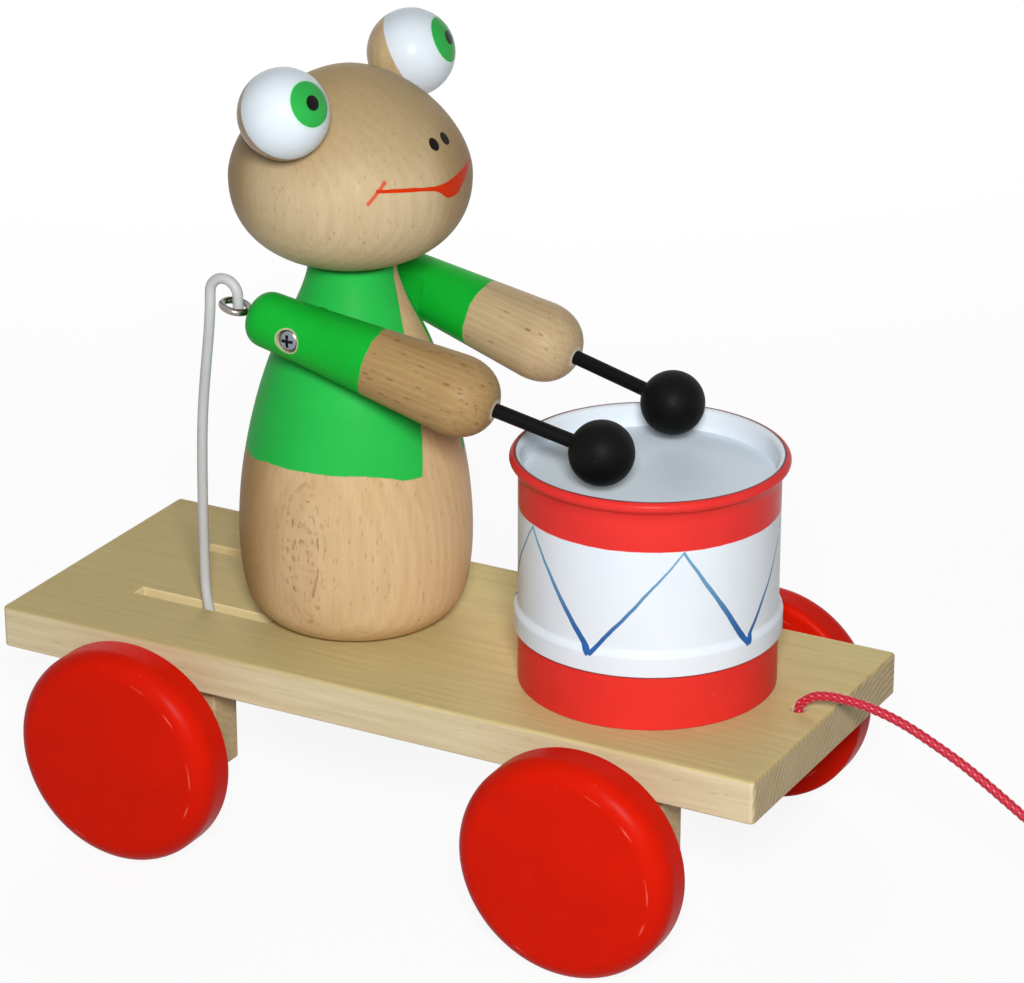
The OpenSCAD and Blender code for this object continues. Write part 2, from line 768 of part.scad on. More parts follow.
// Knot: a lump of two rounds of cord, turned about the cord, top face at z = 0
module knot() {
    lobe = knot_h / 4;
    color(cord_red)
    rotate_extrude()
        polygon(concat(
            [[0, 0]],
            [for (row = [0, 1], a = [75:-30:-75])
                [knot_d / 2 - lobe + lobe * cos(a), -lobe - 2 * lobe * row + lobe * sin(a)]],
            [[0, -knot_h]]));
}

module stopper_knot() {
    translate(cord_path[0]) knot();
}

module end_knot() {
    translate([tail_end_x, tail_y, bead_z]) rotate([0, 90, 0]) knot();
}

// Turned bead to pull by, with a bore for the cord
module pull_bead() {
    bore_r = cord_d / 2 + 0.2;
    mouth = acos(bore_r / (bead_d / 2));
    color(red)
    translate([bead_x, tail_y, bead_z])
        rotate([0, 90, 0])
            rotate_extrude()
                polygon([for (i = [0:24]) let (a = mouth * (i / 12 - 1)) bead_d / 2 * [cos(a), sin(a)]]);
}

// Band that holds the coil's turns together, at the side away from the toy
module coil_tie() {
    wall = 1;
    inner_r = coil_out_r - coil_step * coil_turns / 2;
    in_w = coil_out_r - inner_r + cord_d + 2 * play;
    in_h = coil_lift + cord_d + 2 * play;
    color(red)
    translate([coil_mid[0] + (coil_out_r + inner_r) / 2, coil_mid[1], coil_low_z + coil_lift / 2])
        rotate([90, 0, 0])
            linear_extrude(5, center = true)
                difference() {
                    square([in_w + 2 * wall, in_h + 2 * wall], center = true);
                    square([in_w, in_h], center = true);
                }
}

base_board();
side(false) axle_block(front_x);  // right_front_block
side(true) axle_block(front_x);  // left_front_block
side(false) axle_block(rear_x);  // right_rear_block
side(true) axle_block(rear_x);  // left_rear_block
block_screws(front_x);  // front_block_screws
block_screws(rear_x);  // rear_block_screws
figure_body();
figure_screw();
neck_dowel();
head();
side(false) eye();  // right_eye
side(true) eye();  // left_eye
side(false) eye_dowel();  // right_eye_dowel
side(true) eye_dowel();  // left_eye_dowel
side(false) pivot_washer();  // right_pivot_washer
side(true) pivot_washer();  // left_pivot_washer
side(false) pivot_screw();  // right_pivot_screw
side(true) pivot_screw();  // left_pivot_screw
drum_base();
drum_shell();
drum_skin();
drum_screws();
front_axle();
side(false) wheel(front_x);  // right_front_wheel
side(true) wheel(front_x);  // left_front_wheel
side(false) axle_spacer(front_x);  // right_front_spacer
side(true) axle_spacer(front_x);  // left_front_spacer
rear_axle();
side(false) wheel(rear_x);  // right_rear_wheel
side(true) wheel(rear_x);  // left_rear_wheel
side(false) axle_spacer(rear_x);  // right_rear_spacer
side(true) axle_spacer(rear_x);  // left_rear_spacer
side(false) arm();  // right_arm
side(true) arm();  // left_arm
side(false) drumstick();  // right_drumstick
side(true) drumstick();  // left_drumstick
side(false) mallet();  // right_mallet
side(true) mallet();  // left_mallet
side(false) screw_eye();  // right_screw_eye
side(true) screw_eye();  // left_screw_eye
side(false) push_rod();  // right_push_rod
side(true) push_rod();  // left_push_rod
pull_cord();
pull_cord_coil();
coil_tie();
pull_bead();
stopper_knot();
end_knot();
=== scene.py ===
import math

import bmesh
import bpy
from mathutils import Matrix, Vector


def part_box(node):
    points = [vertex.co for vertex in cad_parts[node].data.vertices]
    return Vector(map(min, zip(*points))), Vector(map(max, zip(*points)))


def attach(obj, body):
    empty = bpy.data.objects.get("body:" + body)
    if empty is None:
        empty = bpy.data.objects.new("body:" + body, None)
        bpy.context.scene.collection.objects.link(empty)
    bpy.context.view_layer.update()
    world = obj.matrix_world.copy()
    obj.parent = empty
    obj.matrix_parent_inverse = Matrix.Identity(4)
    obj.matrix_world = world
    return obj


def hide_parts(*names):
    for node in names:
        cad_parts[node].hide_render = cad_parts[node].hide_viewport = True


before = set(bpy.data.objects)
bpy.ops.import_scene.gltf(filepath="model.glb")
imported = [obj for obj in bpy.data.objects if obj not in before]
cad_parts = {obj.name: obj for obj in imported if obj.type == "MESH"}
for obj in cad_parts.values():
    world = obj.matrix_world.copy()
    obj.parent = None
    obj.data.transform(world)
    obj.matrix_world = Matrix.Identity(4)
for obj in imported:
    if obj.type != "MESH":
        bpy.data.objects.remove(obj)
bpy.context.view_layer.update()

scene = bpy.context.scene
scene.view_settings.view_transform = "Standard"
mm = 0.001


# Camera
# A long lens ahead of the toy's right side and above it, as in the photograph. Its place and turn were
# fitted to the board, the wheels, the drum, the eyes and the mallets together.
def add(name, data):
    """Puts a new object in the scene."""
    thing = bpy.data.objects.new(name, data)
    scene.collection.objects.link(thing)
    return thing


tilt_down, turn_round = 22.30, 28.49
camera = add("Camera", bpy.data.cameras.new("Camera"))
camera.data.sensor_fit = "HORIZONTAL"
camera.data.sensor_width = 36
camera.data.lens = 136.66
camera.location = Vector((499.78, -879.82, 517.73)) * mm
camera.rotation_euler = (math.radians(90 - tilt_down), 0, math.radians(turn_round))
scene.camera = camera


# Studio
# A white floor that keeps the toy's shadow, a plain white surround that is dimmer overhead, a soft lamp
# just above the camera, which lights round pieces from the front, and a weaker one for the far side.
def put(tree, kind, inputs=None, **options):
    """Adds a node to a tree. Its inputs are other nodes' sockets or values, by name or by place."""
    node = tree.nodes.new(kind)
    for option, value in options.items():
        setattr(node, option, value)
    for key, value in (inputs or {}).items():
        if isinstance(value, bpy.types.NodeSocket):
            tree.links.new(value, node.inputs[key])
        else:
            node.inputs[key].default_value = value
    return node


def calc(tree, operation, *values):
    """One sum on numbers, with sockets or values."""
    return put(tree, "ShaderNodeMath", dict(enumerate(values)), operation=operation).outputs[0]


def seen(tree):
    """1 for a ray that shows the background itself or its reflection, 0 for one that only gathers light."""
    ray = put(tree, "ShaderNodeLightPath").outputs
    glossy = calc(tree, "MAXIMUM", ray["Is Glossy Ray"], ray["Is Transmission Ray"])
    return calc(tree, "MAXIMUM", ray["Is Camera Ray"], glossy)


high_light, level_light = 0.07, 0.12
scene.world = bpy.data.worlds.new("Surround")
scene.world.use_nodes = True
sky = scene.world.node_tree
sky_way = put(sky, "ShaderNodeTexCoord").outputs["Generated"]
upward = put(sky, "ShaderNodeSeparateXYZ", {0: sky_way}).outputs[2]
low_share = calc(sky, "POWER", calc(sky, "SUBTRACT", 1.0, calc(sky, "MAXIMUM", upward, 0.0)), 2.0)
ambient = calc(sky, "MULTIPLY_ADD", low_share, level_light - high_light, high_light)
background = sky.nodes["Background"].inputs
background["Color"].default_value = (1, 1, 1, 1)
sky.links.new(calc(sky, "MAXIMUM", ambient, seen(sky)), background["Strength"])

lit_tone, seen_tone = 0.45, 0.95
near_white, far_white, near_reach, far_reach = 0.9, 1.0, 0.3, 1.6
floor_paint = bpy.data.materials.new("Floor paint")
floor_paint.use_nodes = True
ground = floor_paint.node_tree
ground.nodes.clear()
floor_tone = calc(ground, "MULTIPLY_ADD", seen(ground), seen_tone - lit_tone, lit_tone)
lit = put(ground, "ShaderNodeBsdfDiffuse", {"Color": floor_tone}).outputs[0]
plain = put(ground, "ShaderNodeEmission", {"Color": (1, 1, 1, 1), "Strength": 1}).outputs[0]
floor_place = put(ground, "ShaderNodeTexCoord").outputs["Object"]
from_toy = put(ground, "ShaderNodeVectorMath", {0: floor_place}, operation="LENGTH").outputs["Value"]
white_range = {0: from_toy, 1: near_reach, 2: far_reach, 3: near_white, 4: far_white}
white_share = put(ground, "ShaderNodeMapRange", white_range).outputs[0]
whiteness = calc(ground, "MULTIPLY", seen(ground), white_share)
floor_mix = put(ground, "ShaderNodeMixShader", {0: whiteness, 1: lit, 2: plain}).outputs[0]
put(ground, "ShaderNodeOutputMaterial", {"Surface": floor_mix})
floor_half = 4
floor_corners = [(x * floor_half, y * floor_half, 0) for x, y in ((-1, -1), (1, -1), (1, 1), (-1, 1))]
floor_mesh = bpy.data.meshes.new("Floor")
floor_mesh.from_pydata(floor_corners, [], [(0, 1, 2, 3)])
floor_mesh.materials.append(floor_paint)
add("Floor", floor_mesh)

target = Vector((0, 0, 0.11))


def softbox(name, place, size, energy):
    """A round soft lamp that points at the toy."""
    lamp = add(name, bpy.data.lights.new(name, "AREA"))
    lamp.data.shape = "DISK"
    lamp.data.size = size
    lamp.data.energy = energy
    lamp.location = place
    lamp.rotation_euler = (target - place).to_track_quat("-Z", "Y").to_euler()
    return lamp


softbox("Front softbox", camera.location + Vector((0.02, 0.02, 0.13)), 0.24, 13)
behind = target - camera.location
behind.z = 0.25
softbox("Rear softbox", target + behind, 0.8, 8).visible_glossy = False


# Pull cord
# A braided polyester cord of twelve strands, red with a paler fleck. It comes up through its hole in the
# board from a knot below, hangs over the front edge, and the rest is put away in a tied coil.
def smooth(points, steps):
    """A smooth curve through the points, with that many steps from each one to the next."""
    ends = [points[0], *points, points[-1]]
    curve = []
    for a, b, c, d in zip(ends, ends[1:], ends[2:], ends[3:]):
        for k in range(steps):
            t = k / steps
            curve.append(0.5 * (2 * b + (c - a) * t + (2 * a - 5 * b + 4 * c - d) * t ** 2
                                + (3 * b - a - 3 * c + d) * t ** 3))
    return curve + [points[-1]]


def span(node):
    """Lowest and highest corner of a CAD node, in mm."""
    low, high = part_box(node)
    return low / mm, high / mm


def middle(node):
    """Middle of a CAD node, in mm."""
    low, high = span(node)
    return (low + high) / 2


def new_tree(name, **inputs):
    """An empty modifier tree with named inputs: the tree, and the sockets that they come from."""
    tree = bpy.data.node_groups.new(name, "GeometryNodeTree")
    tree.is_modifier = True
    for socket, kind in inputs.items():
        tree.interface.new_socket(socket, in_out="INPUT", socket_type="NodeSocket" + kind)
    tree.interface.new_socket("Piece", in_out="OUTPUT", socket_type="NodeSocketGeometry")
    return tree, put(tree, "NodeGroupInput").outputs


def end_tree(tree, shape, material):
    """Closes a tree: smooth faces, real ones, with their material."""
    soft = put(tree, "GeometryNodeSetShadeSmooth", {0: shape}).outputs[0]
    real = put(tree, "GeometryNodeRealizeInstances", {0: soft}).outputs[0]
    done = put(tree, "GeometryNodeSetMaterial", {0: real, "Material": material}).outputs[0]
    put(tree, "NodeGroupOutput", {0: done})


def settle(piece):
    """Turns what a piece's modifiers make into its plain mesh."""
    bpy.context.view_layer.update()
    made = piece.evaluated_get(bpy.context.evaluated_depsgraph_get())
    mesh = bpy.data.meshes.new_from_object(made)
    piece.modifiers.clear()
    piece.data = mesh


def made_of(name, shape, material=None):
    """A piece from a bmesh, with its faces outwards and one material."""
    bmesh.ops.recalc_face_normals(shape, faces=shape.faces)
    mesh = bpy.data.meshes.new(name)
    shape.to_mesh(mesh)
    shape.free()
    if material:
        mesh.materials.append(material)
    return add(name, mesh)


def outwards(mesh):
    """Turns a mesh's faces outwards."""
    shape = bmesh.new()
    shape.from_mesh(mesh)
    bmesh.ops.recalc_face_normals(shape, faces=shape.faces)
    shape.to_mesh(mesh)
    shape.free()


def formed(name, tree, points, closed=False, **inputs):
    """A piece that a tree makes from a chain of points, given in mm."""
    edges = [(i, i + 1) for i in range(len(points) - 1)]
    if closed:
        edges.append((len(points) - 1, 0))
    mesh = bpy.data.meshes.new(name)
    mesh.from_pydata([Vector(p) * mm for p in points], edges, [])
    piece = add(name, mesh)
    maker = piece.modifiers.new(tree.name, "NODES")
    maker.node_group = tree
    for item in tree.interface.items_tree:
        if item.name in inputs:
            maker[item.identifier] = inputs[item.name]
    settle(piece)
    piece.data.materials.clear()
    piece.data.materials.append(inputs.get("Material"))
    outwards(piece.data)
    return piece


def hand_over(piece, body, slot, *nodes, crease=35):
    """Smooths a piece, keeps its sharp edges, gives it its body and hides the CAD nodes it stands for. The
    slot is not used.
    """
    piece.data.shade_smooth()
    piece.data.set_sharp_from_angle(angle=math.radians(crease))
    even = piece.modifiers.new("Even shading", "WEIGHTED_NORMAL")
    even.keep_sharp = True
    settle(piece)
    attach(piece, body)
    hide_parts(*nodes)
    return piece


def tint(red, green, blue):
    """A colour as it looks, 0 to 255, in the linear light that the shaders mix."""
    shares = (red / 255, green / 255, blue / 255)
    return (*(v / 12.92 if v <= 0.04045 else ((v + 0.055) / 1.055) ** 2.4 for v in shares), 1)


class Finish:
    """The nodes of one surface. Its places are in mm, from a middle and along axes of the piece's own."""

    def __init__(self, name, middle=(0, 0, 0), turn=(0, 0, 0), **constants):
        self.material = bpy.data.materials.new(name)
        self.material.use_nodes = True
        self.tree = self.material.node_tree
        self.shader = self.tree.nodes["Principled BSDF"]
        for socket, value in constants.items():
            self.shader.inputs[socket.replace("_", " ")].default_value = value
        place = {"Vector": self.put("ShaderNodeTexCoord").outputs["Object"],
                 "Location": Vector(middle) * mm,
                 "Rotation": [math.radians(a) for a in turn],
                 "Scale": (mm, mm, mm)}
        self.place = self.put("ShaderNodeMapping", place, vector_type="TEXTURE").outputs[0]

    def put(self, kind, inputs=None, **options):
        return put(self.tree, kind, inputs, **options)

    def calc(self, operation, *values):
        return calc(self.tree, operation, *values)

    def vector(self, operation, *values, result="Vector"):
        """One sum on vectors, which gives a vector or a number."""
        return self.put("ShaderNodeVectorMath", dict(enumerate(values)), operation=operation).outputs[result]

    def total(self, *values):
        """Sum of shares of sockets: pairs of a weight and a socket, and plain numbers."""
        result = 0.0
        for value in values:
            if isinstance(value, tuple):
                result = self.calc("MULTIPLY_ADD", value[1], value[0], result)
            else:
                result = self.calc("ADD", result, value)
        return result

    def distance(self, *parts):
        """Length of a way that has those parts along the axes."""
        return self.calc("SQRT", self.total(*((1.0, self.calc("POWER", part, 2.0)) for part in parts)))

    def stray(self, value, noise, amount):
        """A value that a noise shifts by up to half of the amount, either way."""
        return self.total((1.0, value), (amount, noise), -amount / 2)

    def both(self, *masks):
        """1 where every mask is 1."""
        result = masks[0]
        for mask in masks[1:]:
            result = self.calc("MULTIPLY", result, mask)
        return result

    def axes(self):
        """The place's three numbers."""
        return self.put("ShaderNodeSeparateXYZ", {0: self.place}).outputs

    def step(self, value, low, high):
        """0 below low and 1 above high, with a soft edge between, or the other way round."""
        return self.put("ShaderNodeMapRange", {0: value, 1: low, 2: high, 3: 0.0, 4: 1.0},
                        interpolation_type="SMOOTHSTEP").outputs[0]

    def within(self, value, outer, inner):
        """1 where a value is nearer to 0 than inner, and 0 where it is past outer."""
        return self.step(self.calc("ABSOLUTE", value), outer, inner)

    def scaled(self, sizes):
        """The place, with each axis counted in its own step."""
        return self.vector("DIVIDE", self.place, sizes)

    def noise(self, sizes, detail=2.0, roughness=0.5):
        """Cloudy variation from 0 to 1, about that many mm from one cloud to the next along each axis."""
        return self.put("ShaderNodeTexNoise", {"Vector": self.scaled(sizes), "Scale": 1.0, "Detail": detail,
                                               "Roughness": roughness}).outputs[0]

    def spots(self, sizes, share):
        """Scattered spots of those sizes. share is how many of the places have one."""
        cells = self.put("ShaderNodeTexVoronoi", {"Vector": self.scaled(sizes), "Scale": 1.0}).outputs
        chosen = self.put("ShaderNodeSeparateColor", {0: cells["Color"]}).outputs[0]
        return self.both(self.step(cells["Distance"], 0.42, 0.2), self.step(chosen, share, share - 0.1))

    def mix(self, share, first, second):
        """The first colour, and the second where share is 1."""
        return self.put("ShaderNodeMix", {0: share, 6: first, 7: second}, data_type="RGBA").outputs[2]

    def over(self, first, second, *masks):
        """The first colour, with the second over it where every mask is 1."""
        return self.mix(self.both(*masks), first, second)

    def curve(self, value, points):
        """Reads a value off a drawn line through the points."""
        xs, ys = zip(*points)
        left, right, low, high = min(xs), max(xs), min(ys), max(ys)
        share = self.put("ShaderNodeMapRange", {0: value, 1: left, 2: right, 3: 0.0, 4: 1.0}).outputs[0]
        node = self.put("ShaderNodeFloatCurve", {"Value": share})
        line = node.mapping.curves[0].points
        while len(line) < len(points):
            line.new(0.5, 0.5)
        for knot, (x, y) in zip(line, sorted(points)):
            knot.location = (x - left) / (right - left), (y - low) / (high - low)
        node.mapping.update()
        drawn = {0: node.outputs[0], 1: 0.0, 2: 1.0, 3: low, 4: high}
        return self.put("ShaderNodeMapRange", drawn).outputs[0]

    def lay(self, colour, roughness, relief, depth):
        """Joins the surface up: its colour, its roughness and a relief of that depth in mm."""
        raised = {"Height": relief, "Strength": 1.0, "Distance": depth * mm}
        bump = self.put("ShaderNodeBump", raised).outputs[0]
        for socket, value in (("Base Color", colour), ("Roughness", roughness), ("Normal", bump)):
            self.tree.links.new(value, self.shader.inputs[socket])
        return self.material


cord_d = 3
strands = 6
strand_step = 2.2
braid_depth = 0.35
wire_inputs = {"Path": "Geometry", "Thickness": "Float", "Step": "Float", "Sides": "Int",
               "Material": "Material"}


def keep(tree, shape, name, value):
    """Stores a value on a shape's points under a name."""
    return put(tree, "GeometryNodeStoreNamedAttribute", {0: shape, "Name": name, "Value": value}).outputs[0]


def wire_along(tree, start):
    """Nodes for a round wire along the path. Each point keeps its place along it and around it."""
    line = put(tree, "GeometryNodeMeshToCurve", {0: start["Path"]}).outputs[0]
    even = put(tree, "GeometryNodeResampleCurve", {0: line, "Length": start["Step"]},
               mode="LENGTH").outputs[0]
    marked = keep(tree, even, "along", put(tree, "GeometryNodeSplineParameter").outputs["Length"])
    radius = calc(tree, "MULTIPLY", start["Thickness"], 0.5)
    circle = {"Resolution": start["Sides"], "Radius": radius}
    ring = put(tree, "GeometryNodeCurvePrimitiveCircle", circle).outputs[0]
    section = keep(tree, ring, "around", put(tree, "GeometryNodeSplineParameter").outputs["Factor"])
    return put(tree, "GeometryNodeCurveToMesh", {0: marked, 1: section, "Fill Caps": True}).outputs[0]


braid, start = new_tree("Braided cord", **wire_inputs)
plain_cord = wire_along(braid, start)
turns = put(braid, "GeometryNodeInputNamedAttribute", {"Name": "around"}).outputs[0]
steps = put(braid, "GeometryNodeInputNamedAttribute", {"Name": "along"}).outputs[0]
steps = calc(braid, "DIVIDE", steps, strand_step * mm)
wave_out, wave_back = (
    calc(braid, "SINE", calc(braid, "MULTIPLY", calc(braid, "MULTIPLY_ADD", turns, hand, steps), math.pi))
    for hand in (strands, -strands))
# A strand is highest along its middle, and where it passes over one that runs the other way
over_out = calc(braid, "MULTIPLY", calc(braid, "SIGN", wave_out), wave_back)
over_back = calc(braid, "MULTIPLY", calc(braid, "SIGN", wave_back), wave_out)
high_out = calc(braid, "MULTIPLY_ADD", over_out, 0.5, calc(braid, "ABSOLUTE", wave_out))
high_back = calc(braid, "MULTIPLY_ADD", over_back, -0.5, calc(braid, "ABSOLUTE", wave_back))
relief = calc(braid, "MULTIPLY", calc(braid, "MAXIMUM", high_out, high_back), 1 / 1.5)
pale = calc(braid, "GREATER_THAN", high_back, high_out)
sunk = calc(braid, "MULTIPLY", calc(braid, "SUBTRACT", relief, 1), braid_depth * mm)
normal = put(braid, "GeometryNodeInputNormal").outputs[0]
shift = put(braid, "ShaderNodeVectorMath", {0: normal, "Scale": sunk}, operation="SCALE").outputs[0]
kept = keep(braid, keep(braid, plain_cord, "relief", relief), "pale", pale)
moved = put(braid, "GeometryNodeSetPosition", {0: kept, "Offset": shift}).outputs[0]
end_tree(braid, moved, start["Material"])

coat = Finish("Braided cord", Sheen_Weight=0.25, Sheen_Roughness=0.4)
relief_here, pale_here = (coat.put("ShaderNodeAttribute", attribute_name=name).outputs["Fac"]
                          for name in ("relief", "pale"))
fibre = coat.noise((0.35, 0.35, 0.35), detail=3)
# The cord is darker where its strands sink between each other: painted shade in the braid's grooves
colour = coat.mix(coat.step(relief_here, 0.2, 0.75), tint(112, 6, 26), tint(200, 18, 48))
colour = coat.over(colour, tint(246, 150, 172), pale_here, coat.step(relief_here, 0.68, 0.97),
                   coat.step(fibre, 0.3, 0.62))
cord_material = coat.lay(colour, coat.total(0.5, (0.3, fibre)), fibre, 0.06)

# Route, as in the part's source. Heights are above the deck until the cord is past the board, and above
# the floor from there on
board_low, board_high = span("base_board")
deck_z = board_high.z
hole_inset = 9
cord_x = board_high.x - hole_inset
cord_lift = [(0, -13.1), (0, -6), (0.4, 0.6), (2.3, 3), (5, 4.8), (9, 5.7), (14.6, 5.8), (21, 5.1),
             (27.5, 3.6), (33.6, 1.5), (41, -1.8), (48.5, -5.5), (56, -9.9), (63.4, -14.6)]
cord_fall = [(75, 38.4), (82, 32.5), (88, 26.5), (93, 20.5), (97.5, 14.8), (102.5, 9.4), (108.5, 5.4),
             (115, 3.4), (120, 2.8), (124, 2.8)]
cord_route = smooth([Vector((cord_x + x, 0, deck_z + z)) for x, z in cord_lift]
                    + [Vector((cord_x + x, 0, z)) for x, z in cord_fall], 4)
coil_r, coil_step, coil_lift, coil_z, coil_turns, coil_points = 20.1, 3.6, 3.5, 2.8, 5.5, 36
coil_x = cord_route[-1].x + cord_d
for i in range(1, int(coil_turns * coil_points) + 1):
    turn = i / coil_points
    inwards = coil_turns / 2 - abs(turn - coil_turns / 2)
    rise = min(max((turn - coil_turns / 2) * 2 + 0.5, 0), 1)
    radius = coil_r - coil_step * inwards
    angle = math.tau * (turn - 0.25)
    cord_route.append(Vector((coil_x + radius * math.cos(angle), coil_r + radius * math.sin(angle),
                              coil_z + coil_lift * rise)))
bead = middle("pull_bead")
bead_r = 9
tail = [(coil_x - 4, 6.3), (coil_x - 9, 7.1), (coil_x - 13, bead_r - 0.5), (coil_x - 16, bead_r),
        (bead.x, bead_r), (bead.x - bead_r - 0.4, bead_r)]
cord_route += [Vector((x, 2 * coil_r, z)) for x, z in tail]
cord = formed("braided_pull_cord", braid, cord_route, Thickness=(cord_d - 0.2) * mm, Step=0.42 * mm, Sides=24,
              Material=cord_material)
hand_over(cord, "chassis", "cord", "pull_cord", "pull_cord_coil", crease=180)


def overhand_knot(name, node, turn):
    """A knot of the same cord, drawn as a closed loop of three lobes, in the CAD knot's place."""
    reach, rise, thick, steps = 0.74, 1.7, 2.6, 60
    place = Matrix.Translation(middle(node)) @ turn
    loop = []
    for i in range(steps):
        t = math.tau * i / steps
        loop.append(place @ Vector((reach * (math.sin(t) + 2 * math.sin(2 * t)),
                                    reach * (math.cos(t) - 2 * math.cos(2 * t)), -rise * math.sin(3 * t))))
    knot = formed(name, braid, loop, closed=True, Thickness=thick * mm, Step=0.4 * mm, Sides=24,
                  Material=cord_material)
    return hand_over(knot, "chassis", "cord", node, crease=180)


stopper = overhand_knot("knot_below_board", "stopper_knot", Matrix())
end_knot = overhand_knot("knot_behind_bead", "end_knot", Matrix.Rotation(math.pi / 2, 4, "Y"))

# Turned pieces come from one tree: a profile of radius and height, spun about its upright axis
lathe, start = new_tree("Turned on a lathe", Profile="Geometry", Segments="Int", Material="Material")
count = put(lathe, "GeometryNodeAttributeDomainSize", {0: start["Profile"]}).outputs["Point Count"]
around = calc(lathe, "ADD", start["Segments"], 1)
grid = put(lathe, "GeometryNodeMeshGrid", {"Vertices X": count, "Vertices Y": around}).outputs[0]
index = put(lathe, "GeometryNodeInputIndex").outputs[0]
ring = calc(lathe, "FLOOR", calc(lathe, "DIVIDE", index, around))
share = calc(lathe, "DIVIDE", calc(lathe, "MODULO", index, around), start["Segments"])
angle = calc(lathe, "MULTIPLY", share, math.tau)
position = put(lathe, "GeometryNodeInputPosition").outputs[0]
point = put(lathe, "GeometryNodeSampleIndex", {0: start["Profile"], "Value": position, "Index": ring},
            data_type="FLOAT_VECTOR").outputs[0]
radius, _, height = put(lathe, "ShaderNodeSeparateXYZ", {0: point}).outputs
x, y = (calc(lathe, "MULTIPLY", radius, calc(lathe, wave, angle)) for wave in ("COSINE", "SINE"))
spun = put(lathe, "ShaderNodeCombineXYZ", {0: x, 1: y, 2: height}).outputs[0]
shaped = put(lathe, "GeometryNodeSetPosition", {0: grid, "Position": spun}).outputs[0]
closed = put(lathe, "GeometryNodeMergeByDistance", {0: shaped, "Distance": 1e-6}).outputs[0]
end_tree(lathe, closed, start["Material"])


def move(piece, place):
    """Moves a piece's mesh, by a place in mm."""
    matrix = place.copy()
    matrix.translation *= mm
    piece.data.transform(matrix)


def turned(name, profile, material=None, segments=48, place=Matrix()):
    """A turned piece: its profile in mm, its axis brought into place."""
    piece = formed(name, lathe, [(r, 0, h) for r, h in profile], Segments=segments, Material=material)
    move(piece, place)
    return piece


def arc(middle, radius, start, end, steps=8):
    """A round stretch of a profile, from one angle to another in degrees."""
    angles = [math.radians(start + (end - start) * i / steps) for i in range(steps + 1)]
    return [(middle[0] + radius * math.cos(a), middle[1] + radius * math.sin(a)) for a in angles]


def facing(direction, place=(0, 0, 0)):
    """Brings the upright axis to a place, along a direction."""
    return Matrix.Translation(place) @ Vector(direction).to_track_quat("Z", "Y").to_matrix().to_4x4()


def gloss_paint(name, colour, middle=(0, 0, 0), roughness=0.3, dust=0.15, rub_and_highlight_r=0, **constants):
    """Gloss paint on wood: slow changes of tone, a faint orange peel, and a few specks of dust.

    Where that radius is given, a broken pale line runs along that circle about the y axis: rubbed paint, and
    a painted highlight where the face meets its rounded edge.
    """
    paint = Finish(name, middle, **constants)
    cloud = paint.noise((14, 14, 14), detail=3)
    peel = paint.noise((1.6, 1.6, 1.6), detail=2)
    darker = tuple(v * 0.86 for v in colour[:3]) + (1,)
    shade = paint.mix(paint.total((1.4, cloud), -0.2), darker, colour)
    shade = paint.over(shade, tint(236, 170, 150), paint.spots((1.3, 1.3, 1.3), 0.05), dust)
    # A broken pale line on the circle: rubbed paint and a painted highlight
    if rub_and_highlight_r:
        x, _, z = paint.axes()
        off = paint.stray(paint.total((1.0, paint.distance(x, z)), -rub_and_highlight_r), paint.noise((9, 9, 9)), 1.6)
        broken = paint.step(paint.noise((11, 11, 11), detail=3), 0.54, 0.68)
        shade = paint.over(shade, tint(240, 128, 108), paint.within(off, 0.3, 0.1), broken, 0.5)
    return paint.lay(shade, paint.total(roughness - 0.06, (0.12, cloud)), peel, 0.02)


red = tint(214, 27, 7)
bore = cord_d / 2 + 0.2
mouth = math.degrees(math.acos(bore / bead_r))
ball = arc((0, 0), bead_r, -mouth, mouth, 32)
bead_paint = gloss_paint("Bead paint", red, Specular_IOR_Level=0.08)
bead_piece = turned("turned_bead", [*ball, (bore, 0), ball[0]], bead_paint, 64, facing((1, 0, 0), bead))
hand_over(bead_piece, "chassis", "red_paint", "pull_bead")

# The tie is a strip of the same red tape, round the coil's turns
tie_mid = middle("coil_tie")
tie_half = span("coil_tie")[1] - tie_mid
tie_corner, tape_t = 2.2, 0.9
coat = Finish("Tie tape", tie_mid)
weave = coat.both(coat.noise((0.3, 2.0, 0.3), detail=1), coat.noise((2.0, 0.3, 2.0), detail=1))
colour = coat.mix(coat.step(weave, 0.1, 0.4), tint(150, 12, 30), tint(205, 28, 50))
tape = coat.lay(colour, coat.total(0.6, (0.3, weave)), weave, 0.15)
outline = []
for sign_x, sign_z, first in ((1, 1, 0), (-1, 1, 90), (-1, -1, 180), (1, -1, 270)):
    corner = sign_x * (tie_half.x - tie_corner), sign_z * (tie_half.z - tie_corner)
    outline += arc(corner, tie_corner, first, first + 90, 6)
strip = bmesh.new()
rows = [[strip.verts.new((tie_mid + Vector((x, y, z))) * mm) for x, z in outline]
        for y in (-tie_half.y, tie_half.y)]
for i in range(len(outline)):
    j = (i + 1) % len(outline)
    strip.faces.new((rows[0][i], rows[0][j], rows[1][j], rows[1][i]))
tie = made_of("taped_tie", strip, tape)
wall = tie.modifiers.new("Tape", "SOLIDIFY")
wall.thickness = tape_t * mm
wall.offset = -1
settle(tie)
hand_over(tie, "chassis", "cord", "coil_tie")


